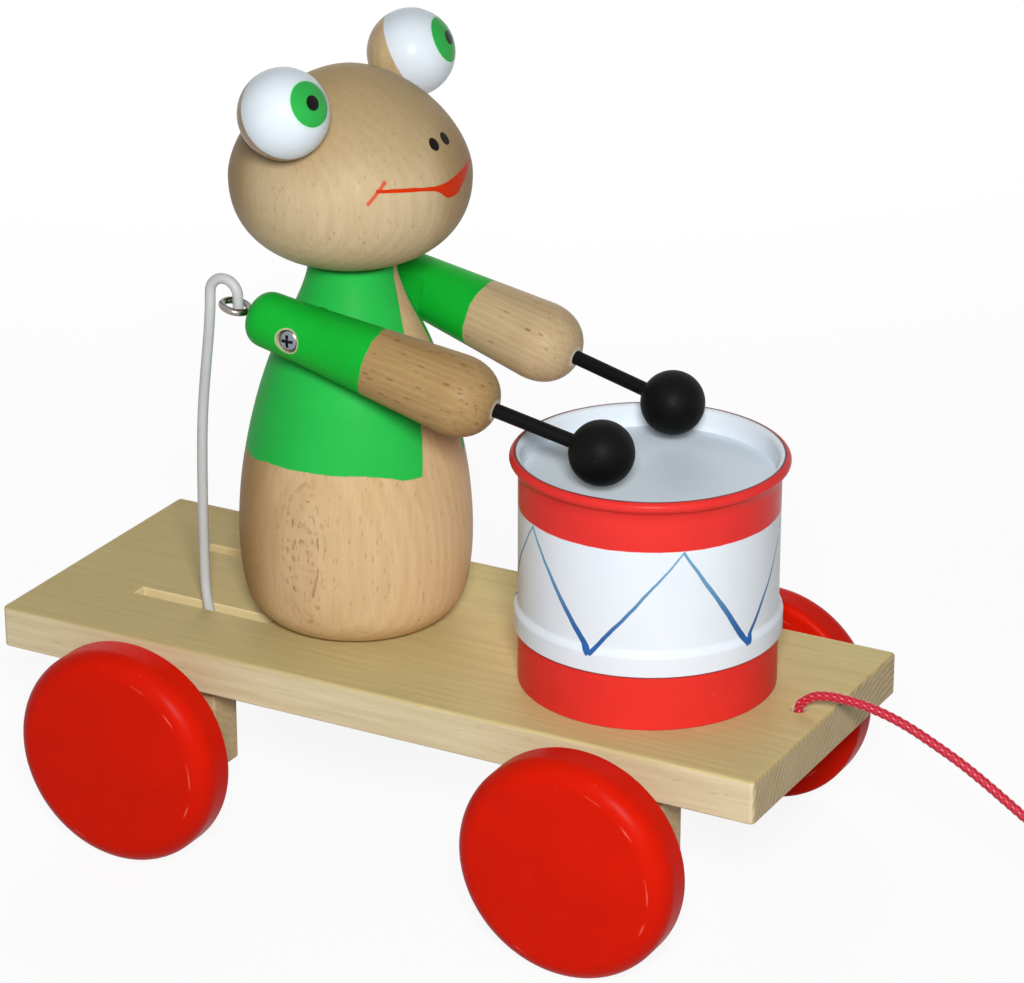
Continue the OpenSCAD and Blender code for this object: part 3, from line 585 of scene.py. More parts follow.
# Board
# A planed beech board with its top edges and corners rounded over. Two slots are milled through it for the
# push rods, a hole is drilled for the cord, and the screws from below are countersunk.
def planed(name, low, high, material, corner_r, upper_r, lower_r):
    """A planed block of wood, with radii for its upright corners, its upper edges and its lower edges."""
    shape = bmesh.new()
    bmesh.ops.create_cube(shape, size=1)
    for v in shape.verts:
        v.co = (low + (high - low) * (v.co + Vector((0.5, 0.5, 0.5)))) * mm
    upright = [e for e in shape.edges if abs(e.verts[0].co.z - e.verts[1].co.z) > 1e-6]
    bmesh.ops.bevel(shape, geom=upright, offset=corner_r * mm, segments=6, profile=0.5, affect="EDGES")
    for height, radius in ((high.z, upper_r), (low.z, lower_r)):
        level = [e for e in shape.edges if all(abs(v.co.z - height * mm) < 1e-6 for v in e.verts)]
        bmesh.ops.bevel(shape, geom=level, offset=radius * mm, segments=5, profile=0.5, affect="EDGES")
    return made_of(name, shape, material)


def cut(piece, *tools):
    """Takes the tools' shapes out of a piece, and clears the tools away."""
    for tool in tools:
        if not any(tool.data.materials):
            tool.data.materials.clear()
            tool.data.materials.append(piece.data.materials[0])
        knife = piece.modifiers.new("Cut", "BOOLEAN")
        knife.operation = "DIFFERENCE"
        knife.solver = "MANIFOLD"
        knife.material_mode = "TRANSFER"
        knife.object = tool
        settle(piece)
        bpy.data.objects.remove(tool)


def mill(x_range, y_range, z_range, flare=0):
    """A cutting tool for a rectangular opening, wider by the flare at its upper end."""
    flared = [(z_range[1] - flare, 0), (z_range[1], flare)] if flare else []
    shape = bmesh.new()
    loops = []
    for z, wide in [(z_range[0], 0), *flared, (z_range[1] + 2, flare)]:
        (left, right), (front, back) = ((low - wide, high + wide) for low, high in (x_range, y_range))
        corners = [(left, front), (right, front), (right, back), (left, back)]
        loops.append([shape.verts.new(Vector((x, y, z)) * mm) for x, y in corners])
    for lower, upper in zip(loops, loops[1:]):
        for i in range(4):
            shape.faces.new((lower[i], lower[(i + 1) % 4], upper[(i + 1) % 4], upper[i]))
    shape.faces.new(reversed(loops[0]))
    shape.faces.new(loops[-1])
    return made_of("Mill", shape)


def sink(screw, place):
    """A cutting tool for a screw's countersink from below, a little wider than its head."""
    d, _, head_d = screw
    fit = 0.1
    cone = (head_d - d) / 2
    profile = [(0, -1), (head_d / 2 + fit, -1), (head_d / 2 + fit, fit), (d / 2 + fit, cone + fit),
               (0, cone + fit)]
    return turned("Sink", profile, place=Matrix.Translation(place))


def grain(wood, pale, dark, pith, gap, flecks, fleck_sizes=(0.6, 0.6, 4.0), fine=0.55):
    """Wood with fibres along the upright axis: soft rings about the pith, fine streaks and dark flecks."""
    x, y, _ = wood.axes()
    away = wood.distance(wood.calc("SUBTRACT", x, pith[0]), wood.calc("SUBTRACT", y, pith[1]))
    wander = wood.noise((20, 20, 120), detail=3)
    ring = wood.calc("SINE", wood.total((math.tau / gap, away), (9 * math.tau / gap, wander)))
    fibre = wood.noise((0.5, 0.5, 14), detail=3, roughness=0.6)
    streak = wood.noise((1.6, 1.6, 34), detail=4, roughness=0.65)
    cloud = wood.noise((26, 26, 50), detail=2)
    tone = wood.total((0.07, ring), (fine, fibre), (0.75, streak), (0.5, cloud), -0.175 - fine / 2)
    spot = wood.both(wood.spots(fleck_sizes, flecks), wood.step(streak, 0.3, 0.62))
    return wood.mix(tone, pale, dark), spot, fibre


board_mid = middle("base_board")
board_half = (board_high - board_low) / 2
slot_y, slot_w, slot_x, slot_l = 18.3, 4.4, -69, 45
coat = Finish("Board wood", board_mid, (0, 90, 0), Specular_IOR_Level=0.08)
board_grain = (58, 22), 2.4, 0.12
# The top gets a darker, yellower copy of the sides' wood; its darkness is painted shade
side_wood, spot, fibre = grain(coat, tint(226, 214, 178), tint(190, 170, 127), *board_grain)
shaded_top_wood, _, _ = grain(coat, tint(215, 198, 143), tint(184, 165, 112), *board_grain)
down, across, along = coat.axes()
# The top is darker still towards the rear
shaded_top_wood = coat.over(shaded_top_wood, tint(160, 138, 92), coat.step(along, 0, -90), 0.4)
colour = coat.mix(coat.step(down, 1 - board_half.z, 0.3 - board_half.z), side_wood, shaded_top_wood)
colour = coat.over(colour, tint(150, 110, 66), spot, 0.35)
# The sawn ends show the growth rings as dark arcs, and the milled slots are paler: partly fresh-cut wood,
# partly painted light against the shade inside them
pith_z, pith_y, ring_gap = 46, 46, 2.1
from_pith = coat.distance(coat.total((1.0, down), -pith_z), coat.total((1.0, across), -pith_y))
arcs = coat.calc("FRACT", coat.total((1 / ring_gap, from_pith), (1.2, coat.noise((14, 14, 14)))))
sawn = coat.step(coat.calc("ABSOLUTE", along), board_half.x - 0.8, board_half.x - 0.2)
arcs = coat.both(coat.step(arcs, 0.3, 0.95), sawn, coat.total((0.7, coat.noise((9, 9, 9)))))
colour = coat.over(colour, tint(176, 148, 102), sawn, 0.4)
colour = coat.over(colour, tint(122, 96, 58), arcs)
off_slot = coat.total((1.0, coat.calc("ABSOLUTE", across)), -slot_y)
along_slot = coat.total((1.0, along), board_mid.x - slot_x)
colour = coat.over(colour, tint(222, 203, 154), coat.within(off_slot, slot_w / 2 + 0.5, slot_w / 2 + 0.3),
                   coat.within(along_slot, slot_l / 2 + 0.5, slot_l / 2 + 0.3))
board_relief = coat.total((0.6, fibre), (-0.4, spot), (-0.3, arcs))
board_wood = coat.lay(colour, coat.total(0.42, (0.16, fibre)), board_relief, 0.04)
board = planed("planed_board", board_low, board_high, board_wood, corner_r=1.5, upper_r=1, lower_r=0.6)
for y in (-slot_y, slot_y):
    cut(board, mill((slot_x - slot_l / 2, slot_x + slot_l / 2), (y - slot_w / 2, y + slot_w / 2),
                    (board_low.z - 1, deck_z), 0.4))
hole_r, hole_flare = cord_d / 2 + 0.5, 0.7
hole = [(0, board_low.z - 1), (hole_r, board_low.z - 1), (hole_r, deck_z - 0.5),
        (hole_r + hole_flare, deck_z), (hole_r + hole_flare, deck_z + 1), (0, deck_z + 1)]
cut(board, turned("Drill", hole, place=Matrix.Translation((cord_x, 0, 0))))
# Screws: thickness, length and width of the head
figure_screw, drum_screw = (5, 42, 10), (4, 22, 8)
figure_x = middle("figure_body").x
drum_x = middle("drum_base").x
drum_screw_y = 18
drum_screw_places = [(drum_x, y, board_low.z) for y in (-drum_screw_y, drum_screw_y)]
figure_screw_place = (figure_x, 0, board_low.z)
cut(board, sink(figure_screw, figure_screw_place), *(sink(drum_screw, place) for place in drum_screw_places))
hand_over(board, "chassis", "board_wood", "base_board")


# Axle blocks
# Four sawn beech blocks under the board, each held by two countersunk screws. A hole across each one is
# the axle's bearing.
def rod_tool(low, high, radius, place, segments=48):
    """A round cutting tool between two heights on its axis."""
    return turned("Drill", [(0, low), (radius, low), (radius, high), (0, high)], None, segments, place)


def bare_wood(name, middle, turn, pale, dark, pith=(0, 60), flecks=0.25):
    """Plain oiled wood, all over a piece."""
    wood = Finish(name, middle, turn, Specular_IOR_Level=0.1)
    colour, spot, fibre = grain(wood, pale, dark, pith, 2.4, flecks)
    colour = wood.over(colour, tint(150, 104, 62), spot, 0.45)
    return wood.lay(colour, wood.total(0.42, (0.16, fibre)), wood.total((0.6, fibre), (-0.4, spot)), 0.04)


axle_z = middle("front_axle").z
axle_d, axle_play = 4, 0.15
block_screw, block_screw_x = (3.5, 36, 7), 8.5
block_screw_places = {"front": [], "rear": []}
for end, places in block_screw_places.items():
    for side in ("right", "left"):
        node = f"{side}_{end}_block"
        low, high = span(node)
        centre = (low + high) / 2
        block_wood = bare_wood(f"Block wood {side} {end}", centre, (0, 90, 0), tint(206, 184, 142),
                               tint(166, 138, 96), (-30, 14), 0.3)
        block = planed(f"axle_block_{side}_{end}", low, high, block_wood, corner_r=0.8, upper_r=0.5,
                       lower_r=0.5)
        cut(block, rod_tool(-20, 20, axle_d / 2 + axle_play, facing((0, 1, 0), (centre.x, centre.y, axle_z))))
        seats = [(centre.x + dx, centre.y, low.z) for dx in (-block_screw_x, block_screw_x)]
        cut(block, *(sink(block_screw, seat) for seat in seats))
        places += seats
        hand_over(block, "chassis", "board_wood", node)

# Screws from below
# Zinc-plated countersunk wood screws with a cross recess: two in each block, two in the drum's base, and a
# longer one up into the figure.
set_out, start = new_tree("Screws in their places", Places="Geometry", Screw="Object", Material="Material")
screw_shape = put(set_out, "GeometryNodeObjectInfo", {"Object": start["Screw"]}).outputs["Geometry"]
each_place = {0: start["Places"], "Instance": screw_shape}
placed = put(set_out, "GeometryNodeInstanceOnPoints", each_place).outputs[0]
end_tree(set_out, placed, start["Material"])


def plated(name, tone, roughness):
    """Bright plated steel with fine wear and a trace of haze."""
    metal = Finish(name, Metallic=1.0)
    haze = metal.noise((2.5, 2.5, 2.5), detail=4)
    scratch = metal.noise((0.2, 3.0, 0.2), detail=2)
    shade = metal.mix(haze, tuple(0.72 * v for v in tone[:3]) + (1,), tone)
    return metal.lay(shade, metal.total(roughness - 0.08, (0.2, haze)), scratch, 0.01)


zinc = plated("Zinc plate", tint(206, 210, 216), 0.3)


def cross_tools(width, depth, place=Matrix(), material=None):
    """Cutting tools for a driver's cross recess, from the head's face down."""
    arm_w = 0.16 * width + 0.3
    tools = []
    for half_x, half_y in ((width / 2, arm_w / 2), (arm_w / 2, width / 2)):
        tool = mill((-half_x, half_x), (-half_y, half_y), (-depth, 0))
        if material:
            tool.data.materials.append(material)
        move(tool, place)
        tools.append(tool)
    return tools


def wood_screws(name, d, length, head_d, places, node):
    """Countersunk screws with their heads at those places, pointing up."""
    cone = (head_d - d) / 2
    edge = 0.15
    profile = [(0, 0), (head_d / 2 - edge, 0), (head_d / 2, -edge), (d / 2, -cone), (d / 2, 1.6 * d - length),
               (0.2, -length), (0, -length)]
    screw = turned("Screw", profile)
    cut(screw, *cross_tools(0.6 * head_d, 0.55 * cone + 0.6))
    move(screw, Matrix.Rotation(math.pi, 4, "X"))
    screws = formed(name, set_out, places, Screw=screw, Material=zinc)
    bpy.data.objects.remove(screw)
    hand_over(screws, "chassis", "steel", node)


for end, places in block_screw_places.items():
    wood_screws(f"block_screws_{end}", *block_screw, places, f"{end}_block_screws")
wood_screws("screw_into_figure", *figure_screw, [figure_screw_place], "figure_screw")
wood_screws("screws_into_drum", *drum_screw, drum_screw_places, "drum_screws")

# Axles
# Drawn steel wire that turns in the blocks. The front one is straight, and the rear one is bent into a crank
# between the push rods.
wire, start = new_tree("Wire along a path", **wire_inputs)
end_tree(wire, wire_along(wire, start), start["Material"])
drawn_steel = plated("Drawn steel", tint(176, 178, 182), 0.36)


def rounded(points, radius, steps=5):
    """A path with its corners bent to about that radius."""
    points = [Vector(p) for p in points]
    path = [points[0]]
    for before, corner, after in zip(points, points[1:], points[2:]):
        first = corner + (before - corner).normalized() * radius
        last = corner + (after - corner).normalized() * radius
        for i in range(steps + 1):
            t = i / steps
            path.append(first * (1 - t) ** 2 + corner * 2 * t * (1 - t) + last * t ** 2)
    return path + [points[-1]]


front_x, rear_x = middle("front_axle").x, middle("right_rear_wheel").x
axle_end = span("front_axle")[1].y
crank_half, crank_throw, crank_bend = 12, 6.4, 2.8
crank_rise = crank_throw * math.sin(math.pi / 4)
crank_pin = Vector((rear_x + crank_rise, 0, axle_z + crank_rise))
straight = [(front_x, -axle_end, axle_z), (front_x, axle_end, axle_z)]
half_crank = [(rear_x, axle_end, axle_z), (rear_x, crank_half, axle_z),
              (crank_pin.x, crank_half, crank_pin.z)]
cranked = rounded([(x, -y, z) for x, y, z in half_crank] + half_crank[::-1], crank_bend)
for end, path in (("front", straight), ("rear", cranked)):
    axle = formed(f"wire_axle_{end}", wire, path, Thickness=axle_d * mm, Step=0.7 * mm, Sides=24,
                  Material=drawn_steel)
    hand_over(axle, f"{end}_wheels", "steel", f"{end}_axle")

# Wheels
# Turned from solid beech with a well rounded outer edge and a slightly crowned face, and dipped in red
# gloss paint. They are pressed on the axle's ends.
wheel_r, wheel_edge, wheel_inner, crown, rings = 32, 6.5, 2, 0.8, 12
wheel_low, wheel_high = span("left_front_wheel")
wheel_w = wheel_high.y - wheel_low.y
face_r = wheel_r - wheel_edge
wheel_rub_and_highlight_r = face_r + 1.6
wheel_profile = [(0, 0), *arc((wheel_r - wheel_inner, wheel_inner), wheel_inner, -90, 0),
                 *arc((face_r, wheel_w - crown - wheel_edge), wheel_edge, 0, 90, 16)]
for i in range(1, rings + 1):
    share = 1 - i / rings
    wheel_profile.append((face_r * share, wheel_w - crown * share ** 2))
corners = [(end, x, side, sign) for end, x in (("front", front_x), ("rear", rear_x))
           for side, sign in (("right", -1), ("left", 1))]
for end, x, side, sign in corners:
    node = f"{side}_{end}_wheel"
    inner_y = min(abs(corner.y) for corner in span(node))
    hub = (x, sign * inner_y, axle_z)
    paint = gloss_paint(f"Wheel paint {side} {end}", red, hub, roughness=0.34, dust=0.06, rub_and_highlight_r=wheel_rub_and_highlight_r,
                        Specular_IOR_Level=0.035)
    wheel = turned(f"wheel_{side}_{end}", wheel_profile, paint, 128, facing((0, sign, 0), hub))
    hand_over(wheel, f"{end}_wheels", "red_paint", node, crease=50)

# Spacers
# Short lengths of beech dowel, drilled through and slipped on the axles. They keep the wheels clear of the
# blocks.
spacer_r, spacer_bore, spacer_edge = 4.5, 2.05, 0.4
for end, x, side, sign in corners:
    node = f"{side}_{end}_spacer"
    low, high = span(node)
    length = high.y - low.y
    foot = (x, high.y if sign < 0 else low.y, axle_z)
    dowel_wood = bare_wood(f"Dowel wood {side} {end}", foot, (90, 0, 0), tint(214, 182, 132),
                           tint(170, 130, 82))
    ring = [(spacer_bore, 0), (spacer_r - spacer_edge, 0), (spacer_r, spacer_edge),
            (spacer_r, length - spacer_edge), (spacer_r - spacer_edge, length), (spacer_bore, length),
            (spacer_bore, 0)]
    spacer = turned(f"spacer_{side}_{end}", ring, dowel_wood, 48, facing((0, sign, 0), foot))
    hand_over(spacer, f"{end}_wheels", "beech", node)

# Body
# Turned from one piece of beech, bare below and with a green painted shirt, which is open down the front.
# A small flat on each side is the seat of an arm's washer.
beech_fleck = tint(126, 80, 46)
body_low, body_high = span("figure_body")
body_r = (body_high.x - body_low.x) / 2
body_h = body_high.z - body_low.z
body_shape = [(0, 0.66), (0.022, 0.8), (0.07, 0.925), (0.15, 0.982), (0.26, 1), (0.39, 0.972), (0.52, 0.9),
              (0.65, 0.792), (0.78, 0.64), (0.88, 0.478), (0.95, 0.39), (1, 0.36)]
body_profile = smooth([Vector((share * body_r, h * body_h + body_low.z)) for h, share in body_shape], 8)
body_profile = [(0, body_low.z), *body_profile, (0, body_high.z)]


def around_axis(finish):
    """Angle about the upright axis in degrees, from the front, and the height."""
    x, y, z = finish.axes()
    return finish.calc("DEGREES", finish.calc("ARCTAN2", y, x)), z


def satin_green(finish, thin, full):
    """Brushed satin paint, a little thinner in places, with its brush marks round the piece."""
    brush = finish.noise((9, 9, 0.9), detail=3)
    cloud = finish.noise((12, 12, 12), detail=2)
    return finish.mix(finish.total((0.7, cloud), (0.3, brush)), thin, full)


coat = Finish("Body finish", (figure_x, 0, 0), Specular_IOR_Level=0.06)
colour, spot, fibre = grain(coat, tint(217, 190, 149), tint(187, 153, 106), (-4, 58), 2.6, 0.24,
                            (0.8, 0.8, 3.4), 0.35)
body_angle, body_z = around_axis(coat)
# Where the turning cuts a growth ring at its widest, the ring shows as nested ovals
oval_angle, oval_z, oval_wide, oval_high = -86, 91, 9.5, 17.0
oval = coat.distance(coat.total((1 / oval_wide, body_angle), -oval_angle / oval_wide),
                     coat.total((1 / oval_high, body_z), -oval_z / oval_high))
oval = coat.total((1.0, oval), (0.5, coat.noise((5, 5, 9))), (0.2, coat.noise((1.5, 1.5, 4))))
oval_rings = coat.calc("POWER", coat.calc("FRACT", coat.calc("MULTIPLY", oval, 3.2)), 2.4)
patchy = coat.step(coat.noise((2.6, 2.6, 2.2), detail=2), 0.46, 0.64)
colour = coat.over(colour, beech_fleck, oval_rings, coat.step(oval, 2.1, 1.2), patchy, 0.7)
colour = coat.over(colour, beech_fleck, spot, 0.32)
# The wood is browner on one side: partly the wood's own tone, partly painted shade for that side
shaded_side = math.radians(-150)
body_x, body_y, _ = coat.axes()
toward_shaded_side = coat.total((math.cos(shaded_side), body_x), (math.sin(shaded_side), body_y))
toward_shaded_side = coat.stray(toward_shaded_side, coat.noise((30, 30, 60)), 10)
colour = coat.over(colour, tint(152, 114, 58), coat.step(toward_shaded_side, 0.55 * body_r, body_r), 0.8)
# The shirt's hem and the two edges of its opening, as they were painted by hand
hem = coat.curve(body_angle, [(-180, 112.6), (-129, 112.7), (-110, 114), (-72, 114.3), (-41, 112.9),
                              (-22, 111.4), (22, 111.4), (60, 113.6), (120, 114), (180, 112.6)])
near_edge = coat.curve(body_z, [(112, -22), (118, -20), (124, -18), (144, -14), (150, -10), (158, 0),
                                (165, 8), (168, 12)])
far_edge = coat.curve(body_z, [(112, 20), (130, 22), (150, 24), (168, 27)])
ragged = coat.noise((6, 6, 6), detail=2)
above_hem = coat.stray(coat.calc("SUBTRACT", body_z, hem), ragged, 0.9)
off_near = coat.stray(coat.calc("SUBTRACT", near_edge, body_angle), ragged, 1.2)
off_far = coat.stray(coat.calc("SUBTRACT", body_angle, far_edge), ragged, 1.2)
beside = coat.calc("MAXIMUM", coat.step(off_near, -0.3, 0.3), coat.step(off_far, -0.3, 0.3))
shirt = coat.both(coat.step(above_hem, -0.15, 0.15), beside)
colour = coat.mix(shirt, colour, satin_green(coat, tint(36, 172, 68), tint(44, 188, 80)))
# A dark line under the head: painted shade where the head sits on the neck
head_low, head_high = span("head")
colour = coat.over(colour, tint(10, 84, 28), coat.step(body_z, head_low.z - 1.6, head_low.z - 0.6), 0.75)
body_rough = coat.total(0.36, (0.14, fibre), (0.04, shirt))
open_spot = coat.both(spot, coat.calc("SUBTRACT", 1.0, shirt))
body_relief = coat.total((0.5, fibre), (-0.5, open_spot), (0.8, shirt))
body = turned("turned_body", body_profile, coat.lay(colour, body_rough, body_relief, 0.06), 144,
              Matrix.Translation((figure_x, 0, 0)))
pivot = Vector((figure_x, 27.2, middle("left_pivot_washer").z))
seat_y = min(abs(corner.y) for corner in span("left_pivot_washer"))
seat_r = 9.2
for sign in (-1, 1):
    cut(body, rod_tool(seat_y, seat_y + 30, seat_r, facing((0, sign, 0), (figure_x, 0, pivot.z)), 64))
hand_over(body, "chassis", "beech", "figure_body")

# Head
# A turned bun of beech, fuller below than above, on a dowel in the neck. The mouth, its corners and the
# nostrils are painted on by hand.
head_r = (head_high.x - head_low.x) / 2
head_mid = 192.5
low_h, low_power, high_h, high_power = 25.5, 2.3, head_high.z - head_mid, 1.7


def bun(share, power):
    """The head's radius at a share of the height from its widest place to the end."""
    return head_r * max(1 - share ** power, 0) ** (1 / power)


chin = (head_mid - head_low.z) / low_h
lower = [chin * (1 - i / 32) for i in range(33)]
upper = [math.sin(math.pi / 2 * i / 40) for i in range(1, 41)]
head_profile = [(0, head_low.z), *((bun(t, low_power), head_mid - t * low_h) for t in lower),
                *((bun(t, high_power), head_mid + t * high_h) for t in upper)]

coat = Finish("Head finish", (figure_x, 0, 0), Specular_IOR_Level=0.06)
colour, spot, fibre = grain(coat, tint(205, 186, 152), tint(178, 152, 111), (10, 40), 3.0, 0.26,
                            (0.8, 0.8, 3.2), 0.25)
colour = coat.over(colour, beech_fleck, spot, 0.36)
head_angle, head_z = around_axis(coat)
# The head is darker towards the crown
crown_tone_z = coat.stray(head_z, coat.noise((22, 22, 16), detail=2), 14)
colour = coat.over(colour, tint(160, 134, 90), coat.step(crown_tone_z, 194, 216), 0.6)
# The head is browner on its two flanks across the camera's view: painted shade at the edges of a round piece
head_x, head_y, _ = coat.axes()
flank_shade = coat.calc("ABSOLUTE", coat.total((0.879, head_x), (0.477, head_y)))
flank_shade = coat.stray(flank_shade, coat.noise((24, 24, 40)), 8)
colour = coat.over(colour, tint(138, 104, 58), coat.step(flank_shade, 0.62 * head_r, head_r), 0.75)


def drawn_stroke(finish, angle, height, radius, start, end):
    """Places along and beside a stroke on a round piece, in mm from its middle, and half its length."""
    degree = math.radians(radius)
    first, last = (Vector((a * degree, h)) for a, h in (start, end))
    way, mid = (last - first).normalized(), (first + last) / 2
    along = finish.total((degree * way.x, angle), (way.y, height), -way.dot(mid))
    beside = finish.total((degree * way.y, angle), (-way.x, height), way.x * mid.y - way.y * mid.x)
    return along, beside, (last - first).length / 2


lip_high = coat.curve(head_angle, [(-47, 197.6), (-30, 196.9), (-20, 196.1), (-12, 195.8), (-4, 196.2),
                                   (6, 196.9), (14, 197.3), (20, 197.3), (30, 197.3), (47, 197.6)])
lip_low = coat.curve(head_angle, [(-47, 196.6), (-30, 195.8), (-20, 195), (-15, 194.2), (-10, 192.2),
                                  (-6, 191.3), (-2, 191.3), (4, 192.8), (10, 194.5), (16, 195.9),
                                  (20, 196.3), (30, 196.3), (47, 196.6)])
brushy = coat.noise((1.5, 1.5, 1.5), detail=3)
above_lip = coat.stray(coat.calc("SUBTRACT", head_z, lip_low), brushy, 0.3)
below_lip = coat.stray(coat.calc("SUBTRACT", lip_high, head_z), brushy, 0.3)
half_angle = coat.calc("ABSOLUTE", head_angle)
lips = coat.both(coat.step(above_lip, -0.12, 0.12), coat.step(below_lip, -0.12, 0.12),
                 coat.step(half_angle, 47.5, 47))
# Each corner of the mouth is one short slanting stroke
along, beside, half_stroke = drawn_stroke(coat, half_angle, head_z, 33.5, (52.1, 193.4), (41.7, 199.7))
colour = coat.over(colour, tint(210, 62, 36), coat.within(along, half_stroke, half_stroke - 0.6),
                   coat.within(beside, 0.62, 0.38), 0.85)
colour = coat.mix(lips, colour, coat.mix(brushy, tint(192, 40, 5), tint(210, 58, 12)))
# A degree is about half a millimetre round the head at the nostrils
nostril_degree, nostril_wide, nostril_high = 0.5, 1.8, 1.6
nostrils = 0.0
for nostril_angle, nostril_z in ((-6.9, 205.6), (4.7, 205.7)):
    wide = nostril_degree / nostril_wide
    away = coat.distance(coat.total((wide, head_angle), -nostril_angle * wide),
                         coat.total((1 / nostril_high, head_z), -nostril_z / nostril_high))
    # The soft edge is counted on the distance's square
    nostrils = coat.calc("MAXIMUM", coat.step(coat.calc("POWER", away, 2.0), 1.12, 0.88), nostrils)
colour = coat.mix(nostrils, colour, tint(16, 9, 7))
painted = coat.calc("MAXIMUM", lips, nostrils)
head_relief = coat.total((0.5, fibre), (-0.5, spot), (0.5, painted))
head_rough = coat.total(0.36, (0.14, fibre), (-0.06, painted))
head = turned("turned_head", head_profile, coat.lay(colour, head_rough, head_relief, 0.05), 144,
              Matrix.Translation((figure_x, 0, 0)))
hand_over(head, "chassis", "beech", "head")

# Eyes
# Two bought wooden balls, doweled on the head. Each is dipped in white from the front, so that bare wood is
# left behind, with a green iris and a black pupil stamped on.
eye_r, eye_flat_r, eye_y, eye_z = 12.5, 2.5, 34.055, 218.162
eye_tilt, pupil = math.radians(37), 9.8
eye_flat = math.sqrt(eye_r ** 2 - eye_flat_r ** 2)
eye_profile = [(0, -eye_flat), *arc((0, 0), eye_r, -math.degrees(math.asin(eye_flat / eye_r)), 90, 56)]
eye_profile[-1] = (0, eye_r)
# The right eye's bare wood is darker than the left's: painted shade
for side, sign, gaze, iris, dip_axis, dip, bare_pale, bare_dark in (
        ("right", -1, (0.877, -0.223, 0.427), 30.3, (0.744, -0.492, 0.452), 0.066, tint(180, 153, 117),
         tint(142, 114, 84)),
        ("left", 1, (0.89, 0.17, 0.42), 32, (0.841, 0.2, 0.5), -0.065, tint(210, 186, 144),
         tint(172, 144, 104))):
    ball = Vector((figure_x, sign * eye_y, eye_z))
    coat = Finish(f"Eye finish {side}", ball, Specular_IOR_Level=0.12)
    bare, _, _ = grain(coat, bare_pale, bare_dark, (30, 20), 2.2, 0.2)
    unit = coat.vector("NORMALIZE", coat.place)
    ahead = coat.vector("DOT_PRODUCT", unit, Vector(gaze).normalized(), result="Value")
    dipped = coat.vector("DOT_PRODUCT", unit, dip_axis, result="Value")
    dipped = coat.stray(dipped, coat.noise((3, 3, 3), detail=2), 0.02)
    cloud = coat.noise((8, 8, 8), detail=2)
    iris_edge, pupil_edge = math.cos(math.radians(iris)), math.cos(math.radians(pupil))
    white_paint = coat.mix(cloud, tint(212, 222, 231), tint(224, 233, 239))
    colour = coat.mix(coat.step(dipped, dip - 0.01, dip + 0.01), bare, white_paint)
    colour = coat.over(colour, tint(176, 230, 190), coat.step(ahead, iris_edge - 0.05, iris_edge), 0.45)
    green_paint = coat.mix(cloud, tint(36, 158, 64), tint(50, 178, 78))
    colour = coat.mix(coat.step(ahead, iris_edge - 0.004, iris_edge + 0.004), colour, green_paint)
    colour = coat.mix(coat.step(ahead, pupil_edge - 0.0015, pupil_edge + 0.0015), colour, tint(8, 8, 8))
    eye_material = coat.lay(colour, coat.total(0.2, (0.12, cloud)), cloud, 0.02)
    outward = (0, sign * math.cos(eye_tilt), math.sin(eye_tilt))
    eye = turned(f"eye_ball_{side}", eye_profile, eye_material, 96, facing(outward, ball))
    hand_over(eye, "chassis", "eye_white", f"{side}_eye")

# Dowels inside
# Plain beech dowels, cut to length and glued in the neck and under the eyes. They are out of sight in the
# finished toy.
dowel_beech = bare_wood("Dowel beech", (figure_x, 0, 0), (0, 0, 0), tint(224, 204, 168), tint(196, 168, 122))
for node in ("neck_dowel", "right_eye_dowel", "left_eye_dowel"):
    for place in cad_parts[node].material_slots:
        place.material = dowel_beech

# Arms
# Turned clubs of beech with a green sleeve and a bare hand. Each is bored across for its pivot screw, with a
# counterbore that cuts through the paint, and is flattened where it passes the body.
arm_back, arm_front, heel_l, hand_l, arm_r_back, arm_r_front = 16, 60, 6.5, 12.5, 8.2, 11.3
arm_way = (middle("left_mallet") - pivot).normalized()
arm_slope, arm_toe = math.degrees(math.asin(-arm_way.z)), math.degrees(math.atan2(-arm_way.y, arm_way.x))


def club_end(length, radius, power, steps=14):
    """A rounded end: lengths along the axis and radii, from the full radius to the axis."""
    angles = [math.pi / 2 * i / steps for i in range(steps)]
    ends = [(length * math.sin(a) ** (2 / power), radius * math.cos(a) ** (2 / power)) for a in angles]
    return ends + [(length, 0)]


heel = [(r, heel_l - arm_back - along) for along, r in reversed(club_end(heel_l, arm_r_back - 0.3, 2.5))]
hand = [(r, arm_front - hand_l + along) for along, r in club_end(hand_l, arm_r_front, 2.2)]
shaft = [(arm_r_back + (arm_r_front - arm_r_back) * i / 8, (arm_front - hand_l) * i / 8) for i in range(8)]
mallet_reach, mallet_r, stick_r, stick_start = 92, 9, 2, 47.3
stick_end = mallet_reach + 2
stick_profile = [(0, stick_start), (stick_r, stick_start), (stick_r, stick_end), (0, stick_end)]
mallet_profile = [(0, mallet_reach - mallet_r), *arc((0, mallet_reach), mallet_r, -88, 88, 44),
                  (0, mallet_reach + mallet_r)]
ring_reach, ring_r, eye_wire, eye_depth = 21, 3.8, 2, 8
eye_path = [Vector((0, 0, eye_depth - arm_back)), Vector((0, 0, ring_r + 0.7 - ring_reach))]
for i in range(41):
    a = math.radians(14 + 334 * i / 40)
    eye_path.append(Vector((0, ring_r * math.sin(a), ring_r * math.cos(a) - ring_reach)))
face_y, face_cut_r, bore_floor, bore_r = 19.9, 12.3, 32.4, 3.3
head_base, screw_head_r, screw_head_h, screw_edge, shank_r = bore_floor + 0.15, 3.1, 2.7, 1.5, 1.5
screw_profile = [(0, 6), (0.2, 6), (shank_r, 10), (shank_r, head_base), (screw_head_r, head_base)]
for degrees in range(0, 90, 10):
    a = math.radians(degrees)
    dome = (screw_head_h - screw_edge) * math.sin(a)
    screw_profile.append((screw_head_r * math.cos(a), head_base + screw_edge + dome))
